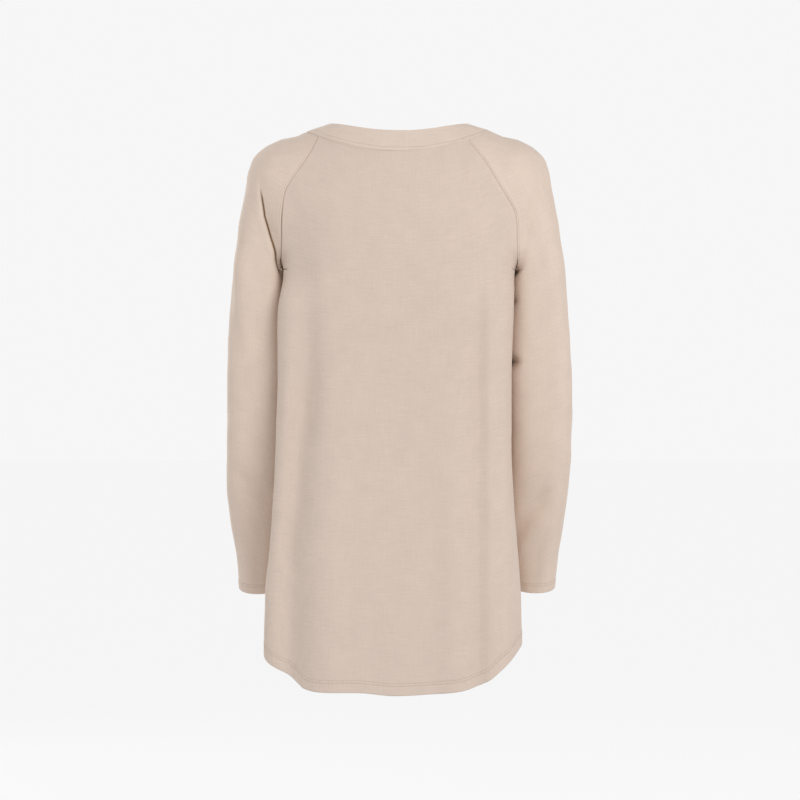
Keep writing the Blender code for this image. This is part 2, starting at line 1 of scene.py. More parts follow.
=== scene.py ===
import bpy
import numpy as np
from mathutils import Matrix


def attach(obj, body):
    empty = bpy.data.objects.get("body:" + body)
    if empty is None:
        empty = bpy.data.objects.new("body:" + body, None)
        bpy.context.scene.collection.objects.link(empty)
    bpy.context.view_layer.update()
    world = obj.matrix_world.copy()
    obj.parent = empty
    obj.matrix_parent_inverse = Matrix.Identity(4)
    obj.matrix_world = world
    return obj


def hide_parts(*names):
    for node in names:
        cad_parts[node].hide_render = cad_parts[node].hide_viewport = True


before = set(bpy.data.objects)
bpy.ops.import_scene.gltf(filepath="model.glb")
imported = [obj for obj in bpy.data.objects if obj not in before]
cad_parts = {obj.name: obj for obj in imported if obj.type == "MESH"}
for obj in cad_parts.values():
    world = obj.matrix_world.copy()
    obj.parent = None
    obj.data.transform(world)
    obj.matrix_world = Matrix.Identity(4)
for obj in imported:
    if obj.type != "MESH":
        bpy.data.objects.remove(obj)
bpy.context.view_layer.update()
print("frame loaded")

# camera, light and floor

studio = {
    "distance": 3.5,            # camera to the middle of the top
    "eyeHeight": -0.378,        # level with the middle of the picture
    "widthSeen": 1.0986,        # what the picture's width covers at y = 0
    "worldStrength": 0.55,
    "worldColour": (0.925, 0.925, 0.925),
    "floorHeight": -1.40,
    "floorRadius": 40.0,
    "floorColour": (0.05, 0.05, 0.05),
    "floorGlow": 0.886,         # a lit studio sweep, so that it is as pale as what is behind it
}

# Each light: where it stands, its width and its power. All face the middle of the top.
lights = {
    "key_light": {"at": (-2.0, 3.7, 1.0), "size": 2.6, "power": 80.0},
    "fill_light": {"at": (2.3, 3.5, 0.4), "size": 2.6, "power": 25.0},
    "front_key": {"at": (2.0, -3.7, 1.0), "size": 2.6, "power": 80.0},
    "front_fill": {"at": (-2.3, -3.5, 0.4), "size": 2.6, "power": 25.0},
    "left_side": {"at": (3.6, -1.5, -0.5), "size": 2.0, "power": 26.0},
    "right_side": {"at": (-3.6, -0.2, -0.5), "size": 2.0, "power": 14.0},
}


def addObject(name, data):
    thing = bpy.data.objects.new(name, data)
    bpy.context.scene.collection.objects.link(thing)
    return thing


def newMaterial(name):
    material = bpy.data.materials.new(name)
    material.use_nodes = True
    nodes = material.node_tree.nodes
    return material, nodes, material.node_tree.links, nodes["Principled BSDF"]


def setInputs(node, values):
    for name, value in values.items():
        node.inputs[name].default_value = value


def makeCamera():
    data = bpy.data.cameras.new("camera")
    data.sensor_width = 36.0
    data.lens = data.sensor_width * studio["distance"] / studio["widthSeen"]
    camera = addObject("camera", data)
    camera.location = (0.0, studio["distance"], studio["eyeHeight"])
    camera.rotation_euler = (np.pi / 2, 0.0, np.pi)
    bpy.context.scene.camera = camera


def makeLights():
    for name, light in lights.items():
        data = bpy.data.lights.new(name, "AREA")
        data.shape = "DISK"
        data.size = light["size"]
        data.energy = light["power"]
        lamp = addObject(name, data)
        lamp.location = light["at"]
        x, y, z = light["at"]
        lean = np.arctan2(np.hypot(x, y), z - studio["eyeHeight"])
        lamp.rotation_euler = (lean, 0.0, np.arctan2(x, -y))


def makeWorld():
    # The camera sees a plain pale backdrop, and the cloth is lit by an even white one.
    world = bpy.data.worlds.new("studio")
    world.use_nodes = True
    nodes = world.node_tree.nodes
    links = world.node_tree.links
    nodes.clear()
    out = nodes.new("ShaderNodeOutputWorld")
    seen = nodes.new("ShaderNodeBackground")
    setInputs(seen, {"Color": (*studio["worldColour"], 1.0)})
    lit = nodes.new("ShaderNodeBackground")
    setInputs(lit, {"Color": (1.0, 1.0, 1.0, 1.0), "Strength": studio["worldStrength"]})
    path = nodes.new("ShaderNodeLightPath")
    mix = nodes.new("ShaderNodeMixShader")
    links.new(path.outputs["Is Camera Ray"], mix.inputs[0])
    links.new(lit.outputs[0], mix.inputs[1])
    links.new(seen.outputs[0], mix.inputs[2])
    links.new(mix.outputs[0], out.inputs["Surface"])
    bpy.context.scene.world = world
    bpy.context.scene.view_settings.view_transform = "Standard"


def makeFloor():
    # A flat disc: radius along one parameter, turn along the other.
    radius = np.linspace(0.0, studio["floorRadius"], 9)[1:]
    turn = np.linspace(0.0, 2 * np.pi, 65)[:-1]
    r, t = np.meshgrid(radius, turn, indexing="ij")
    points = np.stack([r * np.cos(t), r * np.sin(t), np.full_like(r, studio["floorHeight"])], axis=-1)
    corner = np.arange(r.size).reshape(r.shape)
    beside = np.roll(corner, -1, axis=1)
    quads = np.stack([corner[:-1], corner[1:], beside[1:], beside[:-1]], axis=-1).reshape(-1, 4)
    fan = np.stack([np.full(len(turn), r.size), corner[0], beside[0]], axis=-1)
    vertices = np.concatenate([points.reshape(-1, 3), [[0.0, 0.0, studio["floorHeight"]]]])
    mesh = bpy.data.meshes.new("floor")
    mesh.from_pydata(vertices.tolist(), [], quads.tolist() + fan.tolist())
    floor = addObject("floor", mesh)
    material, nodes, links, shader = newMaterial("floor_paint")
    setInputs(shader, {
        "Base Color": (*studio["floorColour"], 1.0),
        "Roughness": 1.0,
        "Specular IOR Level": 0.0,
        "Emission Color": (1.0, 1.0, 1.0, 1.0),
        "Emission Strength": studio["floorGlow"],
    })
    mesh.materials.append(material)
    floor.visible_diffuse = False


makeCamera()
makeLights()
makeWorld()
makeFloor()
print("studio made")

# the form that the cloth hangs in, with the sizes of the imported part

cloth = {
    "wall": 0.0016,
    "hemWall": 0.0031,
    "seamGap": 0.00015,        # half of the gap between two pieces
    "bandWall": 0.0028,
    "seamDepth": 0.0006,       # how far a seam sinks in
    "seamWidth": 0.0011,
    "seamPull": 0.0010,        # how much deeper the left raglan seams are drawn in low down
    "pullHeights": (-0.105, -0.135),
    "allowance": {"proud": 0.00030, "at": 0.0045, "wide": 0.0022},      # what lies under beside a seam
    "gapFade": 0.0006,         # how far from a seam its gap is taken up
    # painted highlight: colour made lighter along folded hems, on the ridge beside seams and at the neck
    # band's top edge, where edges catch light
    "highlightWide": 0.0012,
    "seamHighlight": {"much": 0.35, "at": 0.003},
    "hemHighlight": 0.7,
    "stitchLength": 0.0026,
    "stitchGap": 0.0007,
    "stitchRadius": 0.00030,
    "stitchPull": {"deep": 0.00028, "wide": 0.0008, "beat": 0.25},
}

# Sections of the body: half-widths at the back corners and at the side seams, then depths.
bodyColumns = ("z", "left", "right", "leftSide", "rightSide", "back", "front", "square")
bodySections = (
    (0.012, 0.07, 0.066, 0.07, 0.066, 0.041, 0.045, 2.0),
    (0.0, 0.099, 0.095, 0.099, 0.095, 0.048, 0.052, 2.0),
    (-0.0086, 0.124, 0.122, 0.124, 0.122, 0.054, 0.058, 2.0),
    (-0.0168, 0.143, 0.141, 0.143, 0.141, 0.0597, 0.063, 2.0),
    (-0.0251, 0.166, 0.163, 0.166, 0.163, 0.0658, 0.068, 2.0),
    (-0.0333, 0.181, 0.178, 0.181, 0.178, 0.0718, 0.072, 2.05),
    (-0.0415, 0.19, 0.186, 0.19, 0.186, 0.0773, 0.076, 2.1),
    (-0.052, 0.195, 0.191, 0.195, 0.191, 0.0835, 0.081, 2.15),
    (-0.065, 0.196, 0.191, 0.195, 0.19, 0.0895, 0.087, 2.25),
    (-0.085, 0.194, 0.189, 0.188, 0.183, 0.0965, 0.095, 2.4),
    (-0.105, 0.188, 0.183, 0.178, 0.173, 0.102, 0.102, 2.55),
    (-0.13, 0.18, 0.176, 0.169, 0.165, 0.106, 0.108, 2.7),
    (-0.16, 0.172, 0.169, 0.162, 0.158, 0.108, 0.114, 2.9),
    (-0.2045, 0.1675, 0.164, 0.1555, 0.1535, 0.109, 0.119, 3.2),
    (-0.26, 0.1705, 0.156, 0.1525, 0.15, 0.108, 0.121, 3.3),
    (-0.35, 0.1695, 0.1512, 0.1515, 0.1485, 0.106, 0.121, 3.3),
    (-0.43, 0.173, 0.1512, 0.1525, 0.148, 0.106, 0.121, 3.3),
    (-0.5, 0.1768, 0.1545, 0.155, 0.149, 0.109, 0.122, 3.2),
    (-0.57, 0.1832, 0.1618, 0.158, 0.1515, 0.113, 0.124, 3.1),
    (-0.64, 0.19, 0.168, 0.164, 0.156, 0.117, 0.126, 3.0),
    (-0.71, 0.1905, 0.1692, 0.172, 0.16, 0.119, 0.127, 3.0),
    (-0.8, 0.1885, 0.168, 0.174, 0.162, 0.12, 0.127, 3.0),
)

# Sections of the arms: where the middle is, and half of the width and of the depth.
armColumns = ("z", "x", "y", "wide", "deep", "square")
leftArm = (
    (-0.03, 0.16, 0.0, 0.012, 0.02, 2.0),
    (-0.05, 0.16, 0.0, 0.034, 0.05, 2.0),
    (-0.075, 0.162, 0.0, 0.045, 0.059, 2.2),
    (-0.105, 0.166, 0.0, 0.0485, 0.062, 2.4),
    (-0.13, 0.172, -0.001, 0.0475, 0.062, 2.7),
    (-0.16, 0.181, -0.002, 0.0425, 0.061, 3.0),
    (-0.2045, 0.1925, -0.003, 0.0365, 0.06, 3.3),
    (-0.27, 0.1945, -0.006, 0.0395, 0.057, 3.6),
    (-0.35, 0.1955, -0.01, 0.0413, 0.055, 3.8),
    (-0.43, 0.1967, -0.019, 0.0412, 0.051, 3.7),
    (-0.5, 0.199, -0.034, 0.0403, 0.048, 3.4),
    (-0.55, 0.198, -0.045, 0.0365, 0.045, 3.0),
    (-0.6, 0.1965, -0.056, 0.0305, 0.041, 2.6),
    (-0.65, 0.1965, -0.066, 0.0275, 0.038, 2.2),
)
rightArm = (
    (-0.03, -0.157, 0.0, 0.012, 0.02, 2.0),
    (-0.05, -0.157, 0.0, 0.034, 0.05, 2.0),
    (-0.075, -0.159, 0.0, 0.045, 0.059, 2.1),
    (-0.105, -0.163, 0.0, 0.0485, 0.063, 2.4),
    (-0.13, -0.168, -0.001, 0.048, 0.064, 2.7),
    (-0.16, -0.177, -0.001, 0.043, 0.065, 3.0),
    (-0.2045, -0.19, -0.001, 0.0361, 0.065, 3.4),
    (-0.27, -0.192, -0.003, 0.0387, 0.062, 3.5),
    (-0.35, -0.1943, -0.007, 0.041, 0.058, 3.7),
    (-0.43, -0.1965, -0.016, 0.04, 0.054, 3.6),
    (-0.5, -0.1945, -0.031, 0.0378, 0.05, 3.3),
    (-0.55, -0.192, -0.043, 0.0345, 0.046, 3.0),
    (-0.6, -0.1895, -0.055, 0.03, 0.041, 2.6),
    (-0.65, -0.188, -0.065, 0.0275, 0.038, 2.2),
)
arms = {1: leftArm, -1: rightArm}
underarm = -0.2045
underarmY = -0.002
gapAt = {"x": (0.09, 0.21), "y": (0.0, 0.13)}      # where the gap between arm and body is looked for
seamRay = {"from": 0.17, "length": 0.175}          # rays that find the drawn seams on the surface
partAt = (-0.188, -0.203)        # heights between which arms and body come apart
hipCorner = {"square": 1.7, "full": -0.265}     # how much squarer the back corners get, and from where
armpit = {"least": 0.0012, "most": 0.034, "rise": 0.034, "away": 0.08}      # how arms and body join

# Raglan seams behind and in front.
raglanColumns = ("z", "x")
raglans = {
    (1, False): (
        (-0.022, 0.112), (-0.0443, 0.122), (-0.063, 0.1337), (-0.0808, 0.1459), (-0.0978, 0.1549),
        (-0.114, 0.1581), (-0.1369, 0.1602), (-0.1597, 0.1606), (-0.18, 0.1612), (-0.2, 0.1632),
    ),
    (-1, False): (
        (-0.0254, -0.0917), (-0.0417, -0.1043), (-0.063, -0.1194), (-0.0792, -0.1284),
        (-0.0994, -0.1405), (-0.1147, -0.1497), (-0.128, -0.1555), (-0.145, -0.158),
        (-0.17, -0.1585), (-0.2, -0.1592),
    ),
    (1, True): (
        (-0.023, 0.1155), (-0.04, 0.121), (-0.07, 0.134), (-0.105, 0.15),
        (-0.135, 0.1575), (-0.16, 0.159), (-0.2, 0.1563),
    ),
    (-1, True): (
        (-0.023, -0.1143), (-0.04, -0.1195), (-0.07, -0.132), (-0.105, -0.148),
        (-0.135, -0.1555), (-0.16, -0.157), (-0.2, -0.1543),
    ),
}

# Neck rings in plan: half-width to each side, then depths behind and in front.
neckSeam = {"left": 0.1290, "right": 0.1270, "back": 0.0790, "front": 0.0990}
neckTop = {"left": 0.0960, "right": 0.0925, "back": 0.0570, "front": 0.0800}
neckSquare = 2.1
neckHeights = (-0.13, 0.010)     # between which the neck's surface is looked for

# Hem height along a panel, from the left side seam (0) to the right one (1).
hemColumns = ("along", "z")
hemLength = 0.49
backHem = (
    (0.0, -0.69), (0.06, -0.7), (0.12, -0.714), (0.17, -0.73), (0.22, -0.744), (0.255, -0.757),
    (0.275, -0.763), (0.33, -0.7665), (0.42, -0.767), (0.5, -0.771), (0.58, -0.769), (0.66, -0.765),
    (0.73, -0.752), (0.79, -0.729), (0.85, -0.709), (0.9, -0.701), (0.95, -0.696), (1.0, -0.69),
)
frontHem = (
    (0.0, -0.69), (0.1, -0.706), (0.2, -0.735), (0.3, -0.755), (0.42, -0.764), (0.5, -0.766),
    (0.58, -0.764), (0.7, -0.755), (0.8, -0.735), (0.9, -0.706), (1.0, -0.69),
)

# Folds that hang down a panel. x runs from top to bottom. deep is how far the cloth goes in (minus) or
# out, wide and sharp are its spread to the left (+X) and to the right, start and full are heights.
foldColumns = ("topX", "lowX", "start", "full", "deep", "wide", "sharp")
foldFoot = -0.78                # height at which x is lowX
foldTurn = (0.15, 0.45)         # sines of the turn from the side between which the folds come in
backFolds = (
    (0.15, 0.156, -0.22, -0.42, 0.0045, 0.016, 0.016),
    (0.082, 0.095, -0.24, -0.45, 0.0028, 0.022, 0.022),
    (-0.103, -0.102, -0.2, -0.34, -0.005, 0.015, 0.0085),
    (-0.12, -0.122, -0.15, -0.28, 0.0045, 0.0085, 0.012),
    (-0.14, -0.142, -0.2, -0.3, 0.0055, 0.012, 0.015),
    (-0.066, -0.064, -0.35, -0.48, 0.003, 0.02, 0.02),
    (-0.05, -0.048, -0.48, -0.64, -0.0032, 0.018, 0.018),
)

# The deep fold on the left of the back, down to a tuck at the hem: where its foot is at each height, how
# deep it is, its spread to the left and to the right, and how the right flank rounds (2 soft, 1 sharp).
valleyColumns = ("z", "x", "deep", "wide", "sharp", "power")
leftValley = (
    (-0.14, 0.127, 0.0, 0.024, 0.018, 2.0),
    (-0.19, 0.1265, -0.0045, 0.024, 0.018, 2.0),
    (-0.235, 0.125, -0.0075, 0.024, 0.0185, 2.0),
    (-0.285, 0.1235, -0.0115, 0.023, 0.0185, 2.0),
    (-0.34, 0.1245, -0.0155, 0.023, 0.0185, 2.0),
    (-0.39, 0.1285, -0.0185, 0.0225, 0.019, 2.0),
    (-0.445, 0.135, -0.0195, 0.0225, 0.0215, 2.0),
    (-0.5, 0.1378, -0.0205, 0.0215, 0.0235, 2.0),
    (-0.55, 0.144, -0.0225, 0.02, 0.024, 1.95),
    (-0.6, 0.147, -0.0235, 0.0205, 0.025, 1.9),
    (-0.66, 0.1475, -0.0235, 0.0215, 0.025, 1.85),
    (-0.8, 0.1475, -0.0235, 0.0215, 0.025, 1.8),
)
frontFolds = (
    (0.095, 0.108, -0.2, -0.42, -0.008, 0.029, 0.02),
    (-0.088, -0.098, -0.22, -0.48, -0.0075, 0.02, 0.029),
    (0.04, 0.035, -0.42, -0.64, -0.004, 0.026, 0.026),
    (-0.03, -0.035, -0.38, -0.6, 0.0035, 0.024, 0.024),
)

# Creases on a sleeve, as troughs between two points of it: turn is the angle from outwards (0) to the
# back (90), deep is minus for a trough, outer and inner are its spread away from the body and towards it.
creaseColumns = ("turnA", "zA", "turnB", "zB", "deep", "outer", "inner")
creases = {
    1: (
        (62.0, -0.078, 81.0, -0.13, -0.0036, 0.0034, 0.008),
        (81.0, -0.13, 122.0, -0.203, -0.0065, 0.0032, 0.007),
        (104.0, -0.13, 128.0, -0.185, 0.0025, 0.01, 0.01),
        (150.0, -0.3, 150.0, -0.62, -0.004, 0.015, 0.015),
        (30.0, -0.17, 62.0, -0.3, -0.0035, 0.012, 0.012),
        (60.0, -0.18, 84.0, -0.33, 0.003, 0.013, 0.013),
        (100.0, -0.33, 40.0, -0.4, -0.003, 0.012, 0.012),
        (120.0, -0.52, 60.0, -0.475, -0.003, 0.01, 0.01),
        (-60.0, -0.4, -130.0, -0.43, -0.004, 0.012, 0.012),
        (-70.0, -0.14, -120.0, -0.21, -0.005, 0.012, 0.012),
    ),
    -1: (
        (66.0, -0.092, 119.0, -0.2, -0.0045, 0.0055, 0.0055),
        (142.0, -0.2, 142.0, -0.6, 0.008, 0.02, 0.02),
        (160.0, -0.212, 122.0, -0.202, -0.009, 0.005, 0.005),
        (165.0, -0.252, 126.0, -0.243, -0.006, 0.0045, 0.0045),
        (165.0, -0.326, 124.0, -0.326, -0.0085, 0.0075, 0.0075),
        (132.0, -0.56, 84.0, -0.505, -0.005, 0.011, 0.011),
        (128.0, -0.59, 78.0, -0.545, 0.003, 0.01, 0.01),
        (60.0, -0.4, 20.0, -0.44, -0.0025, 0.014, 0.014),
        (-60.0, -0.39, -130.0, -0.425, -0.004, 0.012, 0.012),
        (-70.0, -0.14, -120.0, -0.21, -0.005, 0.012, 0.012),
    ),
}


def throughRows(table, columns, name, at):
    # A named column at height (or share) at, through the rows by cubics that don't overshoot.
    rows = np.array(sorted(table))
    x = rows[:, 0]
    y = rows[:, columns.index(name)]
    step = np.diff(x)
    slope = np.diff(y) / step
    tangent = np.empty_like(y)
    tangent[0] = slope[0]
    tangent[-1] = slope[-1]
    same = slope[:-1] * slope[1:] > 0
    both = slope[:-1] + slope[1:]
    tangent[1:-1] = np.where(same, 2 * slope[:-1] * slope[1:] / np.where(same, both, 1.0), 0.0)
    at = np.clip(np.asarray(at, float), x[0], x[-1])
    k = np.clip(np.searchsorted(x, at) - 1, 0, len(step) - 1)
    t = (at - x[k]) / step[k]
    ends = (2 * t**3 - 3 * t**2 + 1) * y[k] + (3 * t**2 - 2 * t**3) * y[k + 1]
    bends = (t**3 - 2 * t**2 + t) * tangent[k] + (t**3 - t**2) * tangent[k + 1]
    return ends + bends * step[k]


def ease(low, high, value):
    t = np.clip((value - low) / (high - low), 0.0, 1.0)
    return t * t * (3 - 2 * t)


def columnsAt(table, columns, at):
    return {name: throughRows(table, columns, name, at) for name in columns[1:]}


def unit(vectors):
    return vectors / np.maximum(np.linalg.norm(vectors, axis=-1, keepdims=True), 1e-12)


def polar(dx, dy):
    # Distance from a middle, with the cosine and sine of the turn round it.
    r = np.hypot(dx, dy)
    return r, dx / np.maximum(r, 1e-9), dy / np.maximum(r, 1e-9)


def ovalReach(c, s, half, depth, square):
    # How far a squared oval reaches where the turn has cosine c and sine s.
    return ((np.abs(c) / half) ** square + (np.abs(s) / depth) ** square) ** (-1 / square)


def foldsAt(table, z):
    # What a panel's folds are at heights z: the line that each follows, and its depth there.
    found = []
    for row in table:
        fold = dict(zip(foldColumns, row))
        down = np.clip((fold["start"] - z) / (fold["start"] - foldFoot), 0.0, 1.0)
        line = fold["topX"] + (fold["lowX"] - fold["topX"]) * down
        deep = fold["deep"] * ease(fold["start"], fold["full"], z)
        found.append((line, deep, fold["wide"], fold["sharp"]))
    return found


def bodyAt(z):
    # Everything about the body that depends on height alone, so that level rays look it up once.
    form = columnsAt(bodySections, bodyColumns, z)
    form["z"] = z
    form["middle"] = (form["left"] - form["right"]) / 2
    form["corner"] = hipCorner["square"] * ease(underarm, hipCorner["full"], z)
    form["folds"] = ((1, foldsAt(backFolds, z)), (-1, foldsAt(frontFolds, z)))
    form["valley"] = columnsAt(leftValley, valleyColumns, z)
    return form


def formAt(z, sides=(1, -1)):
    form = bodyAt(z)
    form["sides"] = sides
    for side in sides:
        form[side] = columnsAt(arms[side], armColumns, z)
    form["blend"] = armpit["least"] + armpit["most"] * ease(underarm, underarm + armpit["rise"], z)
    form["away"] = armpit["away"] * ease(*partAt, z)
    return form


def bodyField(x, y, form):
    # Distance out from the body's section: a squared oval in plan, with the folds as smooth bells.
    r, c, s = polar(x - form["middle"], y)
    atBack = ease(0.10, 0.46, s)
    halfLeft = form["leftSide"] + (form["left"] - form["leftSide"]) * atBack - form["middle"]
    halfRight = form["rightSide"] + (form["right"] - form["rightSide"]) * atBack + form["middle"]
    half = np.where(c > 0, halfLeft, halfRight)
    depth = np.where(s > 0, form["back"], form["front"])
    reach = ovalReach(c, s, half, depth, form["square"] + form["corner"] * atBack)
    for facing, folds in form["folds"]:
        share = ease(*foldTurn, facing * s)
        for line, deep, wide, sharp in folds:
            off = (x - line) / np.where(x > line, wide, sharp)
            reach = reach + deep * np.exp(-off * off) * share
    fold = form["valley"]
    toLeft = x > fold["x"]
    off = np.abs(x - fold["x"]) / np.where(toLeft, fold["wide"], fold["sharp"])
    bell = np.exp(-off ** np.where(toLeft, 2.0, fold["power"]))
    return r - reach - fold["deep"] * bell * ease(*foldTurn, s)


def creaseOffset(crease, turn, z):
    # How far a place on a sleeve lies across a crease's line (plus is away from the body), in metres, and
    # how far along it, from 0 to 1.
    perDegree = 0.00085
    alongX = (crease["turnB"] - crease["turnA"]) * perDegree
    alongZ = crease["zB"] - crease["zA"]
    length = np.hypot(alongX, alongZ)
    fromX = (turn - crease["turnA"]) * perDegree
    fromZ = z - crease["zA"]
    t = (fromX * alongX + fromZ * alongZ) / length**2
    return (fromX * alongZ - fromZ * alongX) / length, t


def armField(x, y, form, side):
    # Distance out from an arm's section: a squared oval round its middle, with the creases as bells, and
    # a cap that closes it above.
    arm = form[side]
    dx = x - arm["x"]
    dy = y - arm["y"]
    r, c, s = polar(dx, dy)
    reach = ovalReach(c, s, arm["wide"], arm["deep"], arm["square"])
    turn = np.degrees(np.arctan2(dy, dx * side))
    for row in creases[side]:
        crease = dict(zip(creaseColumns, row))
        across, t = creaseOffset(crease, turn, form["z"])
        fade = ease(-0.25, 0.25, t) * (1 - ease(0.75, 1.25, t))
        spread = np.where(across > 0, crease["outer"], crease["inner"])
        reach = reach + crease["deep"] * np.exp(-(across / spread) ** 2) * fade
    return r - reach + 2.0 * np.clip(form["z"] - arms[side][0][0], 0.0, None)


def wornField(x, y, form, piece=0):
    # Body and arms joined smoothly at the shoulders. piece is 0 for all, "body", 1 or -1: the other
    # pieces are moved off below the shoulder, so that a ray leaves this one there for good.
    away = 0.0 if piece == 0 else form["away"]
    torso = bodyField(x, y, form)
    total = torso + (0.0 if piece == "body" else away)
    joins = 0.0
    for side in form["sides"]:
        arm = armField(x, y, form, side)
        overlap = np.maximum(form["blend"] - np.abs(torso - arm), 0.0) / form["blend"]
        joins = joins + overlap * overlap * form["blend"] / 4
        total = np.minimum(total, arm + (0.0 if piece == side else away))
    return total - joins


def halved(isOut, low, high, times):
    # Where isOut begins to hold between low and high, by halving.
    for _ in range(times):
        half = (low + high) / 2
        outside = isOut(half)
        high = np.where(outside, half, high)
        low = np.where(outside, low, half)
    return (low + high) / 2


def firstOut(isOut, shape, steps):
    # Where isOut first holds along the steps, then by halving between the two steps there.
    low = np.full(shape, float(steps[0]))
    high = np.full(shape, float(steps[-1]))
    found = np.zeros(shape, bool)
    for reach in steps[1:]:
        outside = isOut(reach)
        high = np.where(outside & ~found, reach, high)
        found |= outside
        low = np.where(found, low, reach)
    return halved(isOut, low, high, 16)


def levelCrossing(field, form, x, y, dirX, dirY, near, far, steps):
    # Where each level ray first leaves the form.
    isOut = lambda reach: field(x + dirX * reach, y + dirY * reach, form) > 0
    reach = firstOut(isOut, np.shape(x), near + (far - near) * np.arange(steps + 1) / steps)
    z = np.broadcast_to(form["z"], np.shape(x))
    return np.stack([x + dirX * reach, y + dirY * reach, z], axis=-1)


def outwardFrom(points, field, formOf, h=0.0012):
    # Outward direction: how the field changes in a small step h along each axis.
    x, y, z = points[..., 0], points[..., 1], points[..., 2]
    level = formOf(z)
    return unit(np.stack([
        field(x + h, y, level) - field(x - h, y, level),
        field(x, y + h, level) - field(x, y - h, level),
        field(x, y, formOf(z + h)) - field(x, y, formOf(z - h)),
    ], axis=-1))


def ringPoint(ring, turn):
    # A neck ring: a squared oval in plan, raised from below to the body's surface.
    c = np.cos(turn)
    s = np.sin(turn)
    half = np.where(c > 0, ring["left"], ring["right"])
    reach = ovalReach(c, s, half, np.where(s > 0, ring["back"], ring["front"]), neckSquare)
    x = reach * c
    y = reach * s
    isOut = lambda z: bodyField(x, y, bodyAt(z + 0 * x)) > 0
    return np.stack([x, y, firstOut(isOut, np.shape(x), np.linspace(*neckHeights, 61))], axis=-1)


def ringTurnAt(x, front):
    turn = np.linspace(0, np.pi, 721) * (-1 if front else 1)
    points = ringPoint(neckSeam, turn)
    return float(np.interp(-x, -points[:, 0], turn))


def valley(side, y, form):
    # x halfway between body and arm at a depth y.
    nearArm = lambda x: bodyField(side * x, y, form) > armField(side * x, y, form, side)
    low, high = (np.full(np.shape(form["z"]), end) for end in gapAt["x"])
    return side * halved(nearArm, low, high, 26)


def seamEnds(side, front, z):
    # Where a raglan seam lies at heights z: as drawn above, then in the valley down to the underarm.
    form = formAt(z)
    sign = -1.0 if front else 1.0
    isClear = lambda y: wornField(valley(side, sign * y, form), sign * y, form) > 0
    low, high = (np.full(np.shape(z), end) for end in gapAt["y"])
    y = sign * halved(isClear, low, high, 26)
    foot = np.stack([valley(side, y, form), y, z], axis=-1)
    drawn = throughRows(raglans[(side, front)], raglanColumns, "x", z)
    share = ease(partAt[0], partAt[1] + 0.0005, z)
    x = drawn * (1 - share) + foot[:, 0] * share
    inwards = lambda a, b, at: -wornField(a, b, at)
    start = np.full_like(x, seamRay["from"] * sign)
    points = levelCrossing(inwards, form, x, start, 0.0, -sign, 0.0, seamRay["length"], 90)
    points = np.where((share > 0.999)[:, None], foot, points)
    under = z < underarm + 1e-9
    points[under, 1] = underarmY
    points[under, 0] = valley(side, np.full(int(under.sum()), underarmY), formAt(z[under]))
    return points


# Distances from a seam at which a piece has its closest columns or rows.
nearSeam = np.array((0.0, 0.0004, 0.0008, 0.0013, 0.0019, 0.0027, 0.0037, 0.0050))
# Distances from the edge of a hem, with more rows where the stitches run.
nearHem = np.array((0.0, 0.0003, 0.0007, 0.0012, 0.0019, 0.0029, 0.0045, 0.0065, 0.0085, 0.0104, 0.0118,
                    0.0126, 0.0132, 0.0138, 0.0146, 0.0153, 0.0159, 0.0165, 0.0172, 0.0182, 0.0196,
                    0.0214, 0.0236, 0.0262))


def runningLength(points, axis):
    # Length walked along rows (axis 1) or columns (axis 0) of a grid of points.
    step = np.linalg.norm(np.diff(points, axis=axis), axis=-1)
    start = np.zeros_like(np.take(step, [0], axis=axis))
    return np.concatenate([start, np.cumsum(step, axis=axis)], axis=axis)


def squareLength(points):
    # Length walked down a grid of points, counting only the part of each step that is square to the rows.
    step = np.diff(points, axis=0)
    row = unit(np.gradient(points, axis=1))[1:]
    square = np.linalg.norm(step - row * (step * row).sum(axis=-1, keepdims=True), axis=-1)
    return np.concatenate([np.zeros_like(square[:1]), np.cumsum(square, axis=0)])


def fromMiddle(points):
    # Length walked along each row, from its middle column.
    walked = runningLength(points, 1)
    return walked - walked[:, walked.shape[1] // 2, None]


def placesAlong(length, columns):
    # Where the columns stand along rows of given lengths: close at both seams and even between them.
    length = np.atleast_1d(length)[:, None]
    edge = nearSeam[-1]
    even = np.linspace(0, 1, columns - 2 * len(nearSeam) + 2)[1:-1]
    return np.concatenate([np.tile(nearSeam, (len(length), 1)), edge + (length - 2 * edge) * even,
                           length - nearSeam[::-1]], axis=1)


def turnsAlong(points, turns, columns, heights=None, middleTurn=0.0):
    # The turns, row by row, at which the columns stand. Just above the underarm they stay over those of the
    # closed row below, as far as the seams leave room, and spread evenly again higher up.
    walked = runningLength(points, 1)
    wanted = placesAlong(walked[:, -1], columns)
    if heights is not None:
        base = int(np.argmin(np.abs(heights - underarm)))
        sign = np.sign(turns[base, -1] - turns[base, 0])
        middle = np.array([np.interp(middleTurn * sign, t * sign, s) for t, s in zip(turns, walked)])
        kept = wanted[base] + (middle - middle[base])[:, None]
        crowd = 0.0006 * np.arange(columns)
        crowd[:len(nearSeam)] = nearSeam
        crowd[len(nearSeam):] += nearSeam[-1] - crowd[len(nearSeam)] + 0.0006
        kept = np.clip(kept, crowd, walked[:, -1:] - crowd[::-1])
        share = (1 - ease(underarm, underarm + 0.09, heights)) * (heights > underarm - 1e-9)
        wanted = wanted + (kept - wanted) * share[:, None]
    return np.stack([np.interp(w, s, t) for w, s, t in zip(wanted, walked, turns)])


def ringTurns(turnFrom, turnTo, columns):
    fine = np.linspace(turnFrom, turnTo, 401)
    return turnsAlong(ringPoint(neckSeam, fine)[None], fine[None], columns)[0]


def pinEnds(points, rows, first, last):
    # Rows of a grid that begin and end in raglan seams begin and end on them.
    points[rows, 0] = first[rows]
    points[rows, -1] = last[rows]


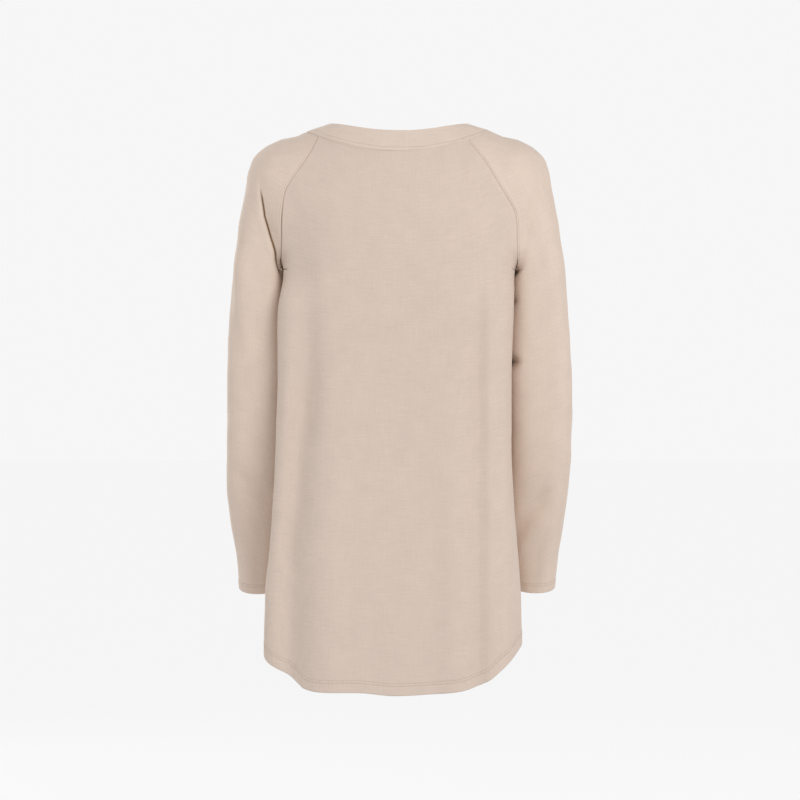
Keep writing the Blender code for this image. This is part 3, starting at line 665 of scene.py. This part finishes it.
def neckRow(turnFirst, turnLast, columns, along):
    # A piece's top row on the neck seam, and how far it dips below a straight line between its ends.
    top = ringPoint(neckSeam, ringTurns(turnFirst, turnLast, columns))
    return top, top[:, 2] - (top[0, 2] + (top[-1, 2] - top[0, 2]) * along)


def panelGrid(front, side, dipShare, hemShare, columns):
    # A panel's surface: rows from the neck seam to the hem, columns from the left seam to the right one.
    # Each row is level between the seams, then follows the neck above and the hem below by its share.
    sign = -1.0 if front else 1.0
    left = seamEnds(1, front, side)
    right = seamEnds(-1, front, side)
    hem = frontHem if front else backHem
    raglan = side > underarm - 1e-9
    middle = bodyAt(side)["middle"]
    turnLeft = np.where(raglan, np.arctan2(left[:, 1], left[:, 0] - middle), 0.0)
    turnRight = np.where(raglan, np.arctan2(right[:, 1], right[:, 0] - middle), np.pi * sign)
    turnRight = np.where(turnRight * sign < 0, turnRight + sign * 2 * np.pi, turnRight)
    along = placesAlong(hemLength, columns)[0] / hemLength
    top, dip = neckRow(ringTurnAt(left[0, 0], front), ringTurnAt(right[0, 0], front), columns, along)
    drop = throughRows(hem, hemColumns, "z", along) - hem[0][1]
    z = side[:, None] + dipShare[:, None] * dip + hemShare[:, None] * drop
    turns = turnLeft[:, None] + (turnRight - turnLeft)[:, None] * np.linspace(0, 1, 181)
    zFine = np.stack([np.interp(np.linspace(0, 1, 181), along, row) for row in z])

    def cast(at, heights):
        form = formAt(heights)
        field = lambda a, b, c: wornField(a, b, c, "body")
        return levelCrossing(field, form, form["middle"] + 0 * at, 0 * at, np.cos(at), np.sin(at),
                             0.004, 0.24, 40)

    points = cast(turns, zFine)
    pinEnds(points, raglan, left, right)
    points = cast(turnsAlong(points, turns, columns, side, sign * np.pi / 2), z)
    pinEnds(points, raglan, left, right)
    points[0] = top
    return points


# Where rays to a sleeve start from at each height, above the underarm.
sleeveAxis = ((-0.0100, 0.085), (-0.0220, 0.092), (-0.0440, 0.112), (-0.0660, 0.130), (-0.0960, 0.150),
              (-0.1310, 0.166), (-0.1660, 0.180), (-0.2000, 0.1925))


def sleeveGrid(side, z, dipShare, slopeShare, columns):
    # A sleeve's surface: rows from the neck seam to the cuff, columns from the back seam over the outside
    # to the front seam, and right round the arm below the underarm.
    back = seamEnds(side, False, z)
    front = seamEnds(side, True, z)
    arm = formAt(z)[side]
    axis = np.where(z < underarm, arm["x"], side * throughRows(sleeveAxis, ("z", "x"), "x", z))
    level = arm["y"]
    isOpen = z > underarm + 1e-9
    turnBack = np.where(isOpen, np.arctan2(back[:, 1] - level, side * (back[:, 0] - axis)), np.pi)
    turnFront = np.where(isOpen, np.arctan2(front[:, 1] - level, side * (front[:, 0] - axis)), -np.pi)
    turnFront = np.where(turnFront > 0, turnFront - 2 * np.pi, turnFront)
    ends = [ringTurnAt(back[0, 0], False), ringTurnAt(front[0, 0], True)]
    if side < 0:
        ends[1] += 2 * np.pi
    along = np.linspace(0, 1, columns)
    top, dip = neckRow(*ends, columns, along)

    def cast(turns, heights):
        x = np.broadcast_to(axis[:, None], turns.shape)
        y = np.broadcast_to(level[:, None], turns.shape)
        field = lambda a, b, c: wornField(a, b, c, side)
        for _ in range(2):
            points = levelCrossing(field, formAt(heights, (side,)), x, y, side * np.cos(turns),
                                   np.sin(turns), 0.003, 0.16, 40)
            heights = z[:, None] + dipShare[:, None] * dipAt(heights.shape[1]) \
                - slopeShare[:, None] * (points[..., 1] - level[:, None])
        return points

    def dipAt(count):
        return np.interp(np.linspace(0, 1, count), along, dip)

    turns = turnBack[:, None] + (turnFront - turnBack)[:, None] * np.linspace(0, 1, 141)
    points = cast(turns, z[:, None] + dipShare[:, None] * dipAt(141))
    pinEnds(points, isOpen, back, front)
    places = turnsAlong(points, turns, columns, z)
    points = cast(places, z[:, None] + dipShare[:, None] * dipAt(columns))
    pinEnds(points, isOpen, back, front)
    pinEnds(points, np.abs(z - underarm) < 1e-9, back, back)
    points[0] = top
    return points, int(isOpen.sum())


# how the cloth lies on that form

foldShift = 0.05
foldReach = 0.04


def edgeDistance(points, last, probe=4, least=0.7):
    # Distance of each point from the first or last column, square to that edge: the length walked, less
    # where the rows meet the edge at a slant, as the probe column shows.
    rows = points[:, ::-1] if last else points
    edge = unit(np.gradient(rows[:, 0], axis=0))
    across = unit(rows[:, probe] - rows[:, 0])
    square = np.linalg.norm(np.cross(edge, across), axis=-1)
    found = runningLength(rows, 1) * np.clip(square, least, 1.0)[:, None]
    return found[:, ::-1] if last else found


def hemDistance(points):
    # Distance of each point from the last row, square to it.
    return edgeDistance(np.swapaxes(points, 0, 1), True, 6, 0.4).T


def distancesOf(points):
    # How far each point of a piece lies from its edges, and along its row from the middle column.
    far = {"first": edgeDistance(points, False), "last": edgeDistance(points, True)}
    far["seam"] = np.minimum(far["first"], far["last"])
    far["neck"] = squareLength(points)
    far["hem"] = hemDistance(points)
    far["across"] = fromMiddle(points)
    return far


def seamRoll(distance, deeper=0.0):
    # The cloth turns down into a seam and stands a little proud where the allowance lies under it.
    sunk = -(cloth["seamDepth"] + deeper) * np.exp(-(distance / cloth["seamWidth"]) ** 2)
    under = cloth["allowance"]
    return sunk + under["proud"] * np.exp(-((distance - under["at"]) / under["wide"]) ** 2)


def stitchDip(distance, row, along):
    # A stitched row pulls the cloth in along a narrow line, more at each needle hole.
    pull = cloth["stitchPull"]
    pitch = cloth["stitchLength"] + cloth["stitchGap"]
    beat = 1 - pull["beat"] + pull["beat"] * np.cos(2 * np.pi * along / pitch)
    return -pull["deep"] * np.exp(-((distance - row) / pull["wide"]) ** 2) * beat


def softWaves(u, v, size, turns=7, seed=0.0):
    # Gentle unevenness from -1 to 1: the mean of sine waves of about one size in several directions.
    total = np.zeros(np.broadcast(u, v).shape)
    for k in range(turns):
        angle = 2.39996 * k + seed
        long = size * (1 + 0.22 * np.sin(3.7 * k + seed))
        total += np.sin(2 * np.pi * (u * np.cos(angle) + v * np.sin(angle)) / long + 1.7 * k * k + seed)
    return total / turns * 1.6


def roundedEdge(distance, thick):
    # Half of the wall's thickness near a folded edge, as a half circle.
    half = thick / 2
    t = np.clip(distance / half, 0.0, 1.0)
    return half * np.sqrt(np.clip(1 - (1 - t) ** 2, 0.0, 1.0))


def wallOf(points, normals, lift, thick, fromEdge, inwards, nearGap):
    # The two faces of a wall whose outer face is the surface plus lift, rounded at its open edge, and
    # drawn back from its seams.
    half = roundedEdge(fromEdge, thick)[..., None]
    drawnBack = inwards * (nearGap * cloth["seamGap"])[..., None]
    middle = points + normals * (lift - thick / 2)[..., None] + drawnBack
    return middle + normals * half, middle - normals * half


def creaseShadeAt(points, side):
    # For a sleeve whose first two creases make one line: distance from that line plus foldShift, so that a
    # piece without one reads as far off, and how strong the painted shade along it is.
    z = points[..., 2]
    arm = formAt(z, (side,))[side]
    turn = np.degrees(np.arctan2(points[..., 1] - arm["y"], (points[..., 0] - arm["x"]) * side))
    upper, lower = (dict(zip(creaseColumns, row)) for row in creases[side][:2])
    across = np.where(z > lower["zA"], creaseOffset(upper, turn, z)[0], creaseOffset(lower, turn, z)[0])
    # painted shade: how dark the crease's shadow line is painted, from the top of the crease down to the
    # underarm
    strength = ease(-0.088, -0.108, z) * (1 - ease(underarm + 0.001, underarm - 0.003, z))
    return {"fold": np.clip(across, -foldReach, foldReach) + foldShift, "creaseShade": strength}


def makeShell(name, outer, inner, uv, marks, closedFrom=None, wholeRing=False, flip=False):
    # A closed cloth wall from two grids of points, with a rim round every open edge. Rows from closedFrom
    # down meet at their first and last columns, and a whole ring has no such columns at all. marks are
    # the attributes that the material reads.
    rows, columns = outer.shape[:2]
    index = np.arange(rows * columns).reshape(rows, columns)
    right = np.roll(index, -1, axis=1) if wholeRing else index[:, 1:]
    here = index if wholeRing else index[:, :-1]
    quads = np.stack([here[:-1], here[1:], right[1:], right[:-1]], axis=-1).reshape(-1, 4)
    if flip:
        quads = quads[:, ::-1]
    count = rows * columns
    weld = np.arange(2 * count)
    if closedFrom is not None:
        both = index[closedFrom:, -1]
        weld[both] = index[closedFrom:, 0]
        weld[both + count] = index[closedFrom:, 0] + count
    joined = weld[quads]
    start = joined.ravel()
    end = np.roll(joined, -1, axis=1).ravel()
    forward = start * count + end
    alone = ~np.isin(forward, end * count + start)
    rawStart = quads.ravel()[alone]
    rawEnd = np.roll(quads, -1, axis=1).ravel()[alone]
    rim = np.stack([rawEnd, rawStart, rawStart + count, rawEnd + count], axis=-1)
    raw = np.concatenate([quads, quads[:, ::-1] + count, rim])
    loops = weld[raw]
    used, compact = np.unique(loops, return_inverse=True)
    vertices = np.concatenate([outer.reshape(-1, 3), inner.reshape(-1, 3)])[used]
    mesh = bpy.data.meshes.new(name)
    mesh.vertices.add(len(vertices))
    mesh.vertices.foreach_set("co", vertices.astype(np.float32).ravel())
    mesh.loops.add(loops.size)
    mesh.loops.foreach_set("vertex_index", compact.ravel().astype(np.int32))
    mesh.polygons.add(len(loops))
    mesh.polygons.foreach_set("loop_start", np.arange(0, loops.size, 4, dtype=np.int32))
    mesh.update(calc_edges=True)
    layer = mesh.uv_layers.new(name="cloth")
    flat = np.concatenate([uv.reshape(-1, 2)] * 2)
    layer.data.foreach_set("uv", flat[raw.ravel()].astype(np.float32).ravel())
    for label, values in marks.items():
        marked = mesh.attributes.new(label, "FLOAT", "POINT")
        marked.data.foreach_set("value", np.concatenate([values.ravel()] * 2)[used].astype(np.float32))
    mesh.polygons.foreach_set("use_smooth", np.ones(len(loops), bool))
    mesh.validate()
    return addObject(name, mesh)


def sampled(line, walked, at):
    # The points of a line at the lengths at, where walked is the length at each of its points.
    return np.stack([np.interp(at, walked, line[:, axis]) for axis in range(3)], axis=-1)


def lineAlong(grid, distance, wanted, downColumns=False):
    # The line on a grid where distance has the wanted value, one point for each row, or each column.
    if downColumns:
        grid = np.swapaxes(grid, 0, 1)
        distance = distance.T
    line = []
    for points, walked in zip(grid, distance):
        order = np.argsort(walked, kind="stable")
        line.append(sampled(points[order], walked[order], wanted))
    return np.array(line)


stitchLines = {"hem_stitches": [], "raglan_stitches": [], "cuff_stitches": [], "band_stitches": []}


def addRow(kind, outer, normals, distance, wanted, downColumns=False, isRing=False):
    # Keeps a row of stitches for makeStitches: its line on the cloth, and which way is up there.
    pair = [lineAlong(grid, distance, wanted, downColumns) for grid in (outer, normals)]
    if isRing:
        pair = [np.concatenate([line, line[:1]]) for line in pair]
    stitchLines[kind].append(pair)


def makeStitches(name, lines):
    # Straight stitches along lines of points with their normals: each is a six-sided spindle whose radius
    # is full between its shoulders, bent down at both ends into the cloth.
    sides = 6
    pitch = cloth["stitchLength"] + cloth["stitchGap"]
    along = np.array([-1.0, -0.62, 0.62, 1.0])[None, :, None, None] * cloth["stitchLength"] / 2
    sink = np.array([-1.3, 0.15, 0.15, -1.3])[None, :, None, None] * cloth["stitchRadius"]
    centres = []
    ahead = []
    upright = []
    for points, normals in lines:
        walked = runningLength(points[None], 1)[0]
        at = (np.arange(max(int(walked[-1] / pitch), 1)) + 0.5) * pitch
        centres.append(sampled(points, walked, at))
        ahead.append(unit(sampled(points, walked, at + pitch / 3) - sampled(points, walked, at - pitch / 3)))
        upright.append(unit(sampled(normals, walked, at)))
    centre = np.concatenate(centres)[:, None, None]
    forward = np.concatenate(ahead)[:, None, None]
    up = np.concatenate(upright)[:, None, None]
    across = unit(np.cross(forward, up))
    turn = np.linspace(0, 2 * np.pi, sides, endpoint=False)[None, None, :, None]
    spine = centre + forward * along + up * sink
    rings = spine[:, 1:3] + (up * np.sin(turn) + across * np.cos(turn)) * cloth["stitchRadius"]
    count = len(centre)
    vertices = np.concatenate([rings.reshape(count, -1, 3), spine[:, [0, 3]].reshape(count, -1, 3)], axis=1)
    a = np.arange(sides)
    b = (a + 1) % sides
    walls = np.stack([a, b, b + sides, a + sides], axis=-1)
    back = np.stack([b, a, np.full(sides, 2 * sides)], axis=-1)
    front = np.stack([a + sides, b + sides, np.full(sides, 2 * sides + 1)], axis=-1)
    base = (np.arange(count) * (2 * sides + 2))[:, None, None]
    faces = []
    for shape in (walls, back, front):
        faces += (shape[None] + base).reshape(-1, shape.shape[-1]).tolist()
    mesh = bpy.data.meshes.new(name)
    mesh.from_pydata(vertices.reshape(-1, 3).tolist(), [], faces)
    mesh.polygons.foreach_set("use_smooth", np.ones(len(faces), bool))
    return addObject(name, mesh)


# materials

jersey = {
    "wale": 0.00095,           # width of one knitted rib
    "course": 0.00080,         # height of one knitted row
    "bump": 0.22,
    # What makes the colour uneven: how often a metre across and along, fineness, and how much.
    "uneven": (
        (34.0, 30.0, 4.0, 0.110),       # patches
        (38.0, 640.0, 2.0, 0.170),      # yarn rows
        (420.0, 30.0, 2.0, 0.085),      # ribs
        (480.0, 540.0, 1.0, 0.140),     # single stitches
    ),
    "worn": 0.07,              # how much lighter the painted highlight makes edges
    "rough": 0.93,
    "sheen": 0.18,
    "sheenRough": 0.45,
    "sheenTint": (1.0, 0.93, 0.86, 1.0),
    "gloss": 0.22,
    "lineOff": 0.0008,         # where the painted shade line of a crease lies beside the crease, and its width
    "lineWide": 0.0011,
    # painted shade: how much the crease's shadow line takes off each colour channel, least from red, so that
    # it is warm brown
    "shadeLineDark": {"Red": 0.84, "Green": 0.92, "Blue": 1.0},
}


def addBump(nodes, links, shader, height, strength, distance):
    bump = nodes.new("ShaderNodeBump")
    setInputs(bump, {"Strength": strength, "Distance": distance})
    links.new(height, bump.inputs["Height"])
    links.new(bump.outputs["Normal"], shader.inputs["Normal"])


def jerseyMaterial(name, colour):
    # Fine knit on the cloth's own UV map, in metres: V-shaped stitches as bump, and a colour with soft
    # patches, uneven yarn rows, a painted highlight along folded edges and seam ridges, painted shade and
    # light on the knit's hollows and loops, and a painted shade line along the bottom of a crease.
    material, nodes, links, shader = newMaterial(name)
    setInputs(shader, {
        "Roughness": jersey["rough"],
        "Specular IOR Level": jersey["gloss"],
        "Sheen Weight": jersey["sheen"],
        "Sheen Roughness": jersey["sheenRough"],
        "Sheen Tint": jersey["sheenTint"],
    })

    def math(operation, a, b=None):
        node = nodes.new("ShaderNodeMath")
        node.operation = operation
        for k, value in enumerate((a, b)):
            if isinstance(value, (int, float)):
                node.inputs[k].default_value = value
            elif value is not None:
                links.new(value, node.inputs[k])
        return node.outputs[0]

    def total(value, *others):
        for other in others:
            value = math("ADD", value, other)
        return value

    def attribute(label):
        node = nodes.new("ShaderNodeAttribute")
        node.attribute_name = label
        return node.outputs["Fac"]

    uv = nodes.new("ShaderNodeUVMap")
    uv.uv_map = "cloth"

    def noise(scaleU, scaleV, detail):
        mapping = nodes.new("ShaderNodeMapping")
        setInputs(mapping, {"Scale": (scaleU, scaleV, 1.0)})
        links.new(uv.outputs["UV"], mapping.inputs["Vector"])
        node = nodes.new("ShaderNodeTexNoise")
        setInputs(node, {"Scale": 1.0, "Detail": detail, "Roughness": 0.6})
        links.new(mapping.outputs["Vector"], node.inputs["Vector"])
        return math("SUBTRACT", node.outputs["Fac"], 0.5)

    split = nodes.new("ShaderNodeSeparateXYZ")
    links.new(uv.outputs["UV"], split.inputs[0])
    rib = math("SUBTRACT", math("FRACT", math("DIVIDE", split.outputs[0], jersey["wale"])), 0.5)
    leg = math("ABSOLUTE", rib)
    phase = math("ADD", math("DIVIDE", split.outputs[1], jersey["course"]), math("MULTIPLY", leg, 1.3))
    yarn = math("MULTIPLY", math("SINE", math("MULTIPLY", phase, 2 * np.pi)), 0.5)
    offLeg = math("MULTIPLY", math("ABSOLUTE", math("SUBTRACT", leg, 0.25)), 4.0)
    legShape = math("SUBTRACT", 1.0, math("MULTIPLY", offLeg, offLeg))
    knit = math("MULTIPLY", math("ADD", yarn, 0.5), legShape)
    height = math("ADD", knit, math("MULTIPLY", noise(2600.0, 2600.0, 2.0), 0.8))
    addBump(nodes, links, shader, height, jersey["bump"], 0.00035)

    # painted shade: a dark line painted beside a crease or seam, where the folded cloth shades it
    offLine = math("SUBTRACT", attribute("fold"), foldShift + jersey["lineOff"])
    offLine = math("DIVIDE", offLine, jersey["lineWide"])
    bell = math("EXPONENT", math("MULTIPLY", math("MULTIPLY", offLine, offLine), -1.0))
    creaseShadeLine = math("MULTIPLY", bell, attribute("creaseShade"))

    # painted highlight on edges, read from the attribute
    worn = math("MULTIPLY", attribute("edgeHighlight"), jersey["worn"])
    # painted shade and light: darker in the knit's hollows, lighter on its raised loops
    knitShading = math("MULTIPLY", math("SUBTRACT", knit, 0.4), 0.05)
    uneven = [math("MULTIPLY", noise(*grain), much) for *grain, much in jersey["uneven"]]
    level = total(1.0, *uneven, worn, knitShading)
    shade = nodes.new("ShaderNodeCombineColor")
    for channel, dark in jersey["shadeLineDark"].items():
        links.new(math("SUBTRACT", level, math("MULTIPLY", creaseShadeLine, dark)), shade.inputs[channel])
    tint = nodes.new("ShaderNodeMix")
    tint.data_type = "RGBA"
    tint.blend_type = "MULTIPLY"
    setInputs(tint, {"Factor": 1.0, "A": (*colour, 1.0)})
    links.new(shade.outputs[0], tint.inputs["B"])
    links.new(tint.outputs["Result"], shader.inputs["Base Color"])
    return material


def threadMaterial(name, colour):
    # Twisted sewing thread: a fine slanted wave as bump on Object coordinates, slightly glossy.
    material, nodes, links, shader = newMaterial(name)
    setInputs(shader, {"Base Color": (*colour, 1.0), "Roughness": 0.62})
    coordinates = nodes.new("ShaderNodeTexCoord")
    wave = nodes.new("ShaderNodeTexWave")
    wave.bands_direction = "DIAGONAL"
    setInputs(wave, {"Scale": 700.0, "Distortion": 0.4})
    links.new(coordinates.outputs["Object"], wave.inputs["Vector"])
    addBump(nodes, links, shader, wave.outputs["Fac"], 0.4, 0.0001)
    return material


def dress(piece, material, node=None):
    piece.data.materials.append(material)
    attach(piece, "root")
    if node:
        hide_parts(node)


jerseys = {
    "body_jersey": jerseyMaterial("body_jersey", (0.687, 0.565, 0.482)),
    # painted light: the sleeves' colour is the body's made about 6 % lighter, to make up for the less light
    # that falls on them
    "sleeve_jersey": jerseyMaterial("sleeve_jersey", (0.732, 0.600, 0.507)),
    "band_jersey": jerseyMaterial("band_jersey", (0.740, 0.613, 0.520)),
}
thread = threadMaterial("sewing_thread", (0.470, 0.370, 0.300))
print("materials made")

# what panels and sleeves share

# A turned-up hem: distances of its stitched rows from the edge, where it puckers, how far it stands proud
# and between which distances that and the doubled wall end.
panelHem = {
    "stitches": "hem_stitches", "rows": (0.0130, 0.0162),
    "puckerAt": 0.0090, "puckerWide": 0.0070, "puckerSize": 0.0105,
    "proud": 0.00030, "proudEnds": (0.0148, 0.0172), "wallEnds": (0.0150, 0.0170),
}
cuffHem = {
    "stitches": "cuff_stitches", "rows": (0.0105, 0.0137),
    "puckerAt": 0.0070, "puckerWide": 0.0055, "puckerSize": 0.0100,
    "proud": 0.00025, "proudEnds": (0.0122, 0.0146), "wallEnds": (0.0122, 0.0142),
}
puckerDeep = 0.00016
neckEnd = -0.0220        # height at which the raglan seams meet the neck seam


def rowHeights(low, step):
    # Heights of a piece's rows: close below the neck seam, even, level with the underarm, close at the hem.
    first = neckEnd - nearSeam
    count = int(round((first[-1] - underarm) / step)) + 8
    t = np.linspace(0, 1, count + 1)[1:]
    upper = first[-1] + (underarm - first[-1]) * (t + 0.9 * t * (1 - t) * t)
    last = low + nearHem[::-1]
    lower = np.linspace(underarm, last[0], int(round((underarm - last[0]) / step)) + 1)[1:-1]
    return np.concatenate([first, upper, lower, last])


def finishPiece(name, node, points, normals, far, heights, cut, hem, drawnIn, fold, flip, openRows=None):
    # The wall of a panel or sleeve: seams sunk in, and more so low down where drawnIn holds, soft waves
    # between them, and a doubled and stitched hem. A sleeve is open down to openRows.
    pulled = cloth["seamPull"] * ease(*cloth["pullHeights"], points[..., 2]) * drawnIn
    lift = seamRoll(far["seam"], pulled) + seamRoll(far["neck"])
    for row in hem["rows"]:
        lift += stitchDip(far["hem"], row, far["across"])
    calm = ease(0.004, 0.03, np.minimum(far["seam"], far["neck"]))
    lift += cut["waves"] * softWaves(far["across"], far["neck"], cut["waveSize"], seed=cut["seed"]) * calm
    pucker = np.exp(-((far["hem"] - hem["puckerAt"]) / hem["puckerWide"]) ** 2)
    uneven = softWaves(far["across"], far["hem"] * 0.4, hem["puckerSize"], seed=cut["seed"] + 1)
    lift += puckerDeep * uneven * pucker
    lift += hem["proud"] * (1 - ease(*hem["proudEnds"], far["hem"]))
    thick = cloth["wall"] + (cloth["hemWall"] - cloth["wall"]) * (1 - ease(*hem["wallEnds"], far["hem"]))
    nearGap = np.exp(-far["seam"] / cloth["gapFade"])
    if openRows is not None:
        nearGap[openRows:] = 0.0
    inwards = unit(np.gradient(points, axis=1)) * np.where(far["first"] < far["last"], 1.0, -1.0)[..., None]
    outer, inner = wallOf(points, normals, lift, thick, far["hem"], inwards, nearGap)
    # painted highlight: lighter colour at the hem's folded edge and on the ridge beside each seam
    offSeam = (far["seam"] - cloth["seamHighlight"]["at"]) / cloth["highlightWide"]
    edgeHighlight = cloth["hemHighlight"] * np.exp(-far["hem"] / cloth["highlightWide"])
    edgeHighlight += cloth["seamHighlight"]["much"] * np.exp(-offSeam ** 2)
    uv = np.stack([far["across"], -far["neck"]], axis=-1)
    piece = makeShell(name, outer, inner, uv, {"edgeHighlight": edgeHighlight, **fold}, closedFrom=openRows, flip=flip)
    dress(piece, jerseys[cut["slot"]], node)
    for row in hem["rows"]:
        addRow(hem["stitches"], outer, normals, far["hem"], row, True)
    sewn = slice(4, int((heights > underarm + 0.012).sum()))
    for edge in ("first", "last"):
        addRow("raglan_stitches", outer[sewn], normals[sewn], far[edge][sewn], cut["raglanRow"])
    print(name, outer.shape[:2])


# front and back panels

# neckFades is how far below the neck its dip fades out, and hemHeights is where the hem's curve comes in.
panelCut = {"flat": (0.50, 0.76), "area": 0.30, "slot": "body_jersey", "raglanRow": 0.0004,
            "waveSize": 0.055, "neckFades": 0.120, "hemHeights": (-0.300, -0.664)}
# painted shade: a dark line along the back panel's left raglan seam, from about -0.105 down to just above
# the underarm, where the seam lies in a crease
leftSeamShade = {"most": 0.80, "from": -0.105, "full": -0.140, "above": 0.010, "end": 0.004}
backPanel = {**panelCut, "columns": 176, "rowStep": 0.0038, "waves": 0.00022, "seed": 0.4}
frontPanel = {**panelCut, "columns": 156, "rowStep": 0.0042, "waves": 0.00030, "seed": 2.1}


def makePanel(name, node, front, cut):
    side = rowHeights(backHem[0][1], cut["rowStep"])
    dipShare = 1 - ease(0.0, cut["neckFades"], side[0] - side)
    hemShare = ease(*cut["hemHeights"], side)
    points = panelGrid(front, side, dipShare, hemShare, cut["columns"])
    normals = outwardFrom(points, lambda x, y, at: wornField(x, y, at, "body"), formAt)
    far = distancesOf(points)
    z = points[..., 2]
    # painted shade along the left seam, on the back panel only
    dark = leftSeamShade
    fades = ease(underarm + dark["above"], underarm + dark["end"], z)
    strength = dark["most"] * ease(dark["from"], dark["full"], z) * (1 - fades)
    fold = {"fold": np.minimum(far["first"], foldReach) + foldShift, "creaseShade": 0 * z if front else strength}
    finishPiece(name, node, points, normals, far, side, cut, panelHem, far["first"] < far["last"], fold,
                front)


makePanel("back_panel_cloth", "back_panel", False, backPanel)
makePanel("front_panel_cloth", "front_panel", True, frontPanel)

# sleeves

sleeveCut = {"flat": (0.38, 0.66), "area": 0.17, "slot": "sleeve_jersey", "raglanRow": 0.0024,
             "waveSize": 0.045, "waves": 0.00030, "columns": 196, "rowStep": 0.0036, "neckFades": 0.045,
             "slope": 0.20, "slopeHeights": (-0.420, -0.600)}      # the cuff slopes down to the front
leftSleeve = {**sleeveCut, "side": 1, "cuff": -0.6395, "seed": 5.2}
rightSleeve = {**sleeveCut, "side": -1, "cuff": -0.6380, "seed": 7.7}


def makeSleeve(name, node, cut):
    side = cut["side"]
    z = rowHeights(cut["cuff"], cut["rowStep"])
    dipShare = 1 - ease(0.0, cut["neckFades"], z[0] - z)
    slopeShare = cut["slope"] * ease(*cut["slopeHeights"], z)
    points, openRows = sleeveGrid(side, z, dipShare, slopeShare, cut["columns"])
    normals = outwardFrom(points, lambda x, y, at: wornField(x, y, at, side), lambda at: formAt(at, (side,)))
    # the left sleeve gets the painted shade line in its crease
    fold = creaseShadeAt(points, side) if side > 0 else {}
    finishPiece(name, node, points, normals, distancesOf(points), z, cut, cuffHem, side > 0, fold,
                side > 0, openRows)


makeSleeve("left_sleeve_cloth", "left_sleeve", leftSleeve)
makeSleeve("right_sleeve_cloth", "right_sleeve", rightSleeve)

# neck band

neckBand = {"columns": 420, "rows": 22, "height": 0.030, "joinX": -0.0110, "raised": 0.0003,
            "stitchRows": (0.0016, 0.0072), "seamSunk": 0.0005, "joinSunk": 0.00045, "sunkWide": 0.0011,
            "waves": 0.00018, "waveSize": 0.020, "seed": 3.3}


def makeBand(name, node):
    # A doubled ring between two neck ovals, one parameter round it and the other up it.
    near = nearSeam / neckBand["height"]
    share = np.concatenate([near[:-1], np.linspace(near[-1], 0.93, neckBand["rows"]),
                            (0.955, 0.972, 0.985, 0.994, 1.0)])
    fine = np.linspace(0, 2 * np.pi, 1201)
    walked = runningLength(ringPoint(neckSeam, fine)[None], 1)[0]
    turns = np.interp(np.linspace(0, walked[-1], neckBand["columns"], endpoint=False), walked, fine)
    rings = [{k: neckSeam[k] + (neckTop[k] - neckSeam[k]) * s for k in neckSeam} for s in share]
    points = np.array([ringPoint(ring, turns) for ring in rings])
    normals = outwardFrom(points, bodyField, bodyAt)
    fromSeam = runningLength(points, 0)
    fromTop = fromSeam[-1:] - fromSeam
    around = np.interp(turns, fine, walked)[None] * np.ones_like(fromSeam)
    join = np.abs(points[..., 0] - neckBand["joinX"]) + np.where(points[..., 1] > 0, 0.0, 1.0)
    lift = neckBand["raised"] * ease(0.0, 0.0030, fromSeam)
    lift -= neckBand["seamSunk"] * np.exp(-(fromSeam / neckBand["sunkWide"]) ** 2)
    lift -= neckBand["joinSunk"] * np.exp(-(join / neckBand["sunkWide"]) ** 2)
    for row in neckBand["stitchRows"]:
        lift += stitchDip(fromSeam, row, around)
    uneven = softWaves(around, fromSeam, neckBand["waveSize"], seed=neckBand["seed"])
    lift += neckBand["waves"] * uneven * ease(0.002, 0.008, fromTop)
    thick = cloth["bandWall"] * (0.6 + 0.4 * ease(0.0, 0.004, fromSeam))
    outer, inner = wallOf(points, normals, lift, thick, fromTop, unit(np.gradient(points, axis=0)),
                          np.exp(-fromSeam / cloth["gapFade"]))
    uv = np.stack([around, fromSeam], axis=-1)
    # painted highlight along the band's folded top edge
    marks = {"edgeHighlight": np.exp(-fromTop / 0.0016)}
    piece = makeShell(name, outer, inner, uv, marks, wholeRing=True, flip=True)
    dress(piece, jerseys["band_jersey"], node)
    for row in neckBand["stitchRows"]:
        addRow("band_stitches", outer, normals, fromSeam, row, True, True)
    print(name, outer.shape[:2])


makeBand("neck_band_cloth", "neck_band")

# stitching

for stitchName, stitchLists in stitchLines.items():
    row = makeStitches(stitchName, stitchLists)
    dress(row, thread)
    print(stitchName, len(row.data.polygons))

print("top finished")
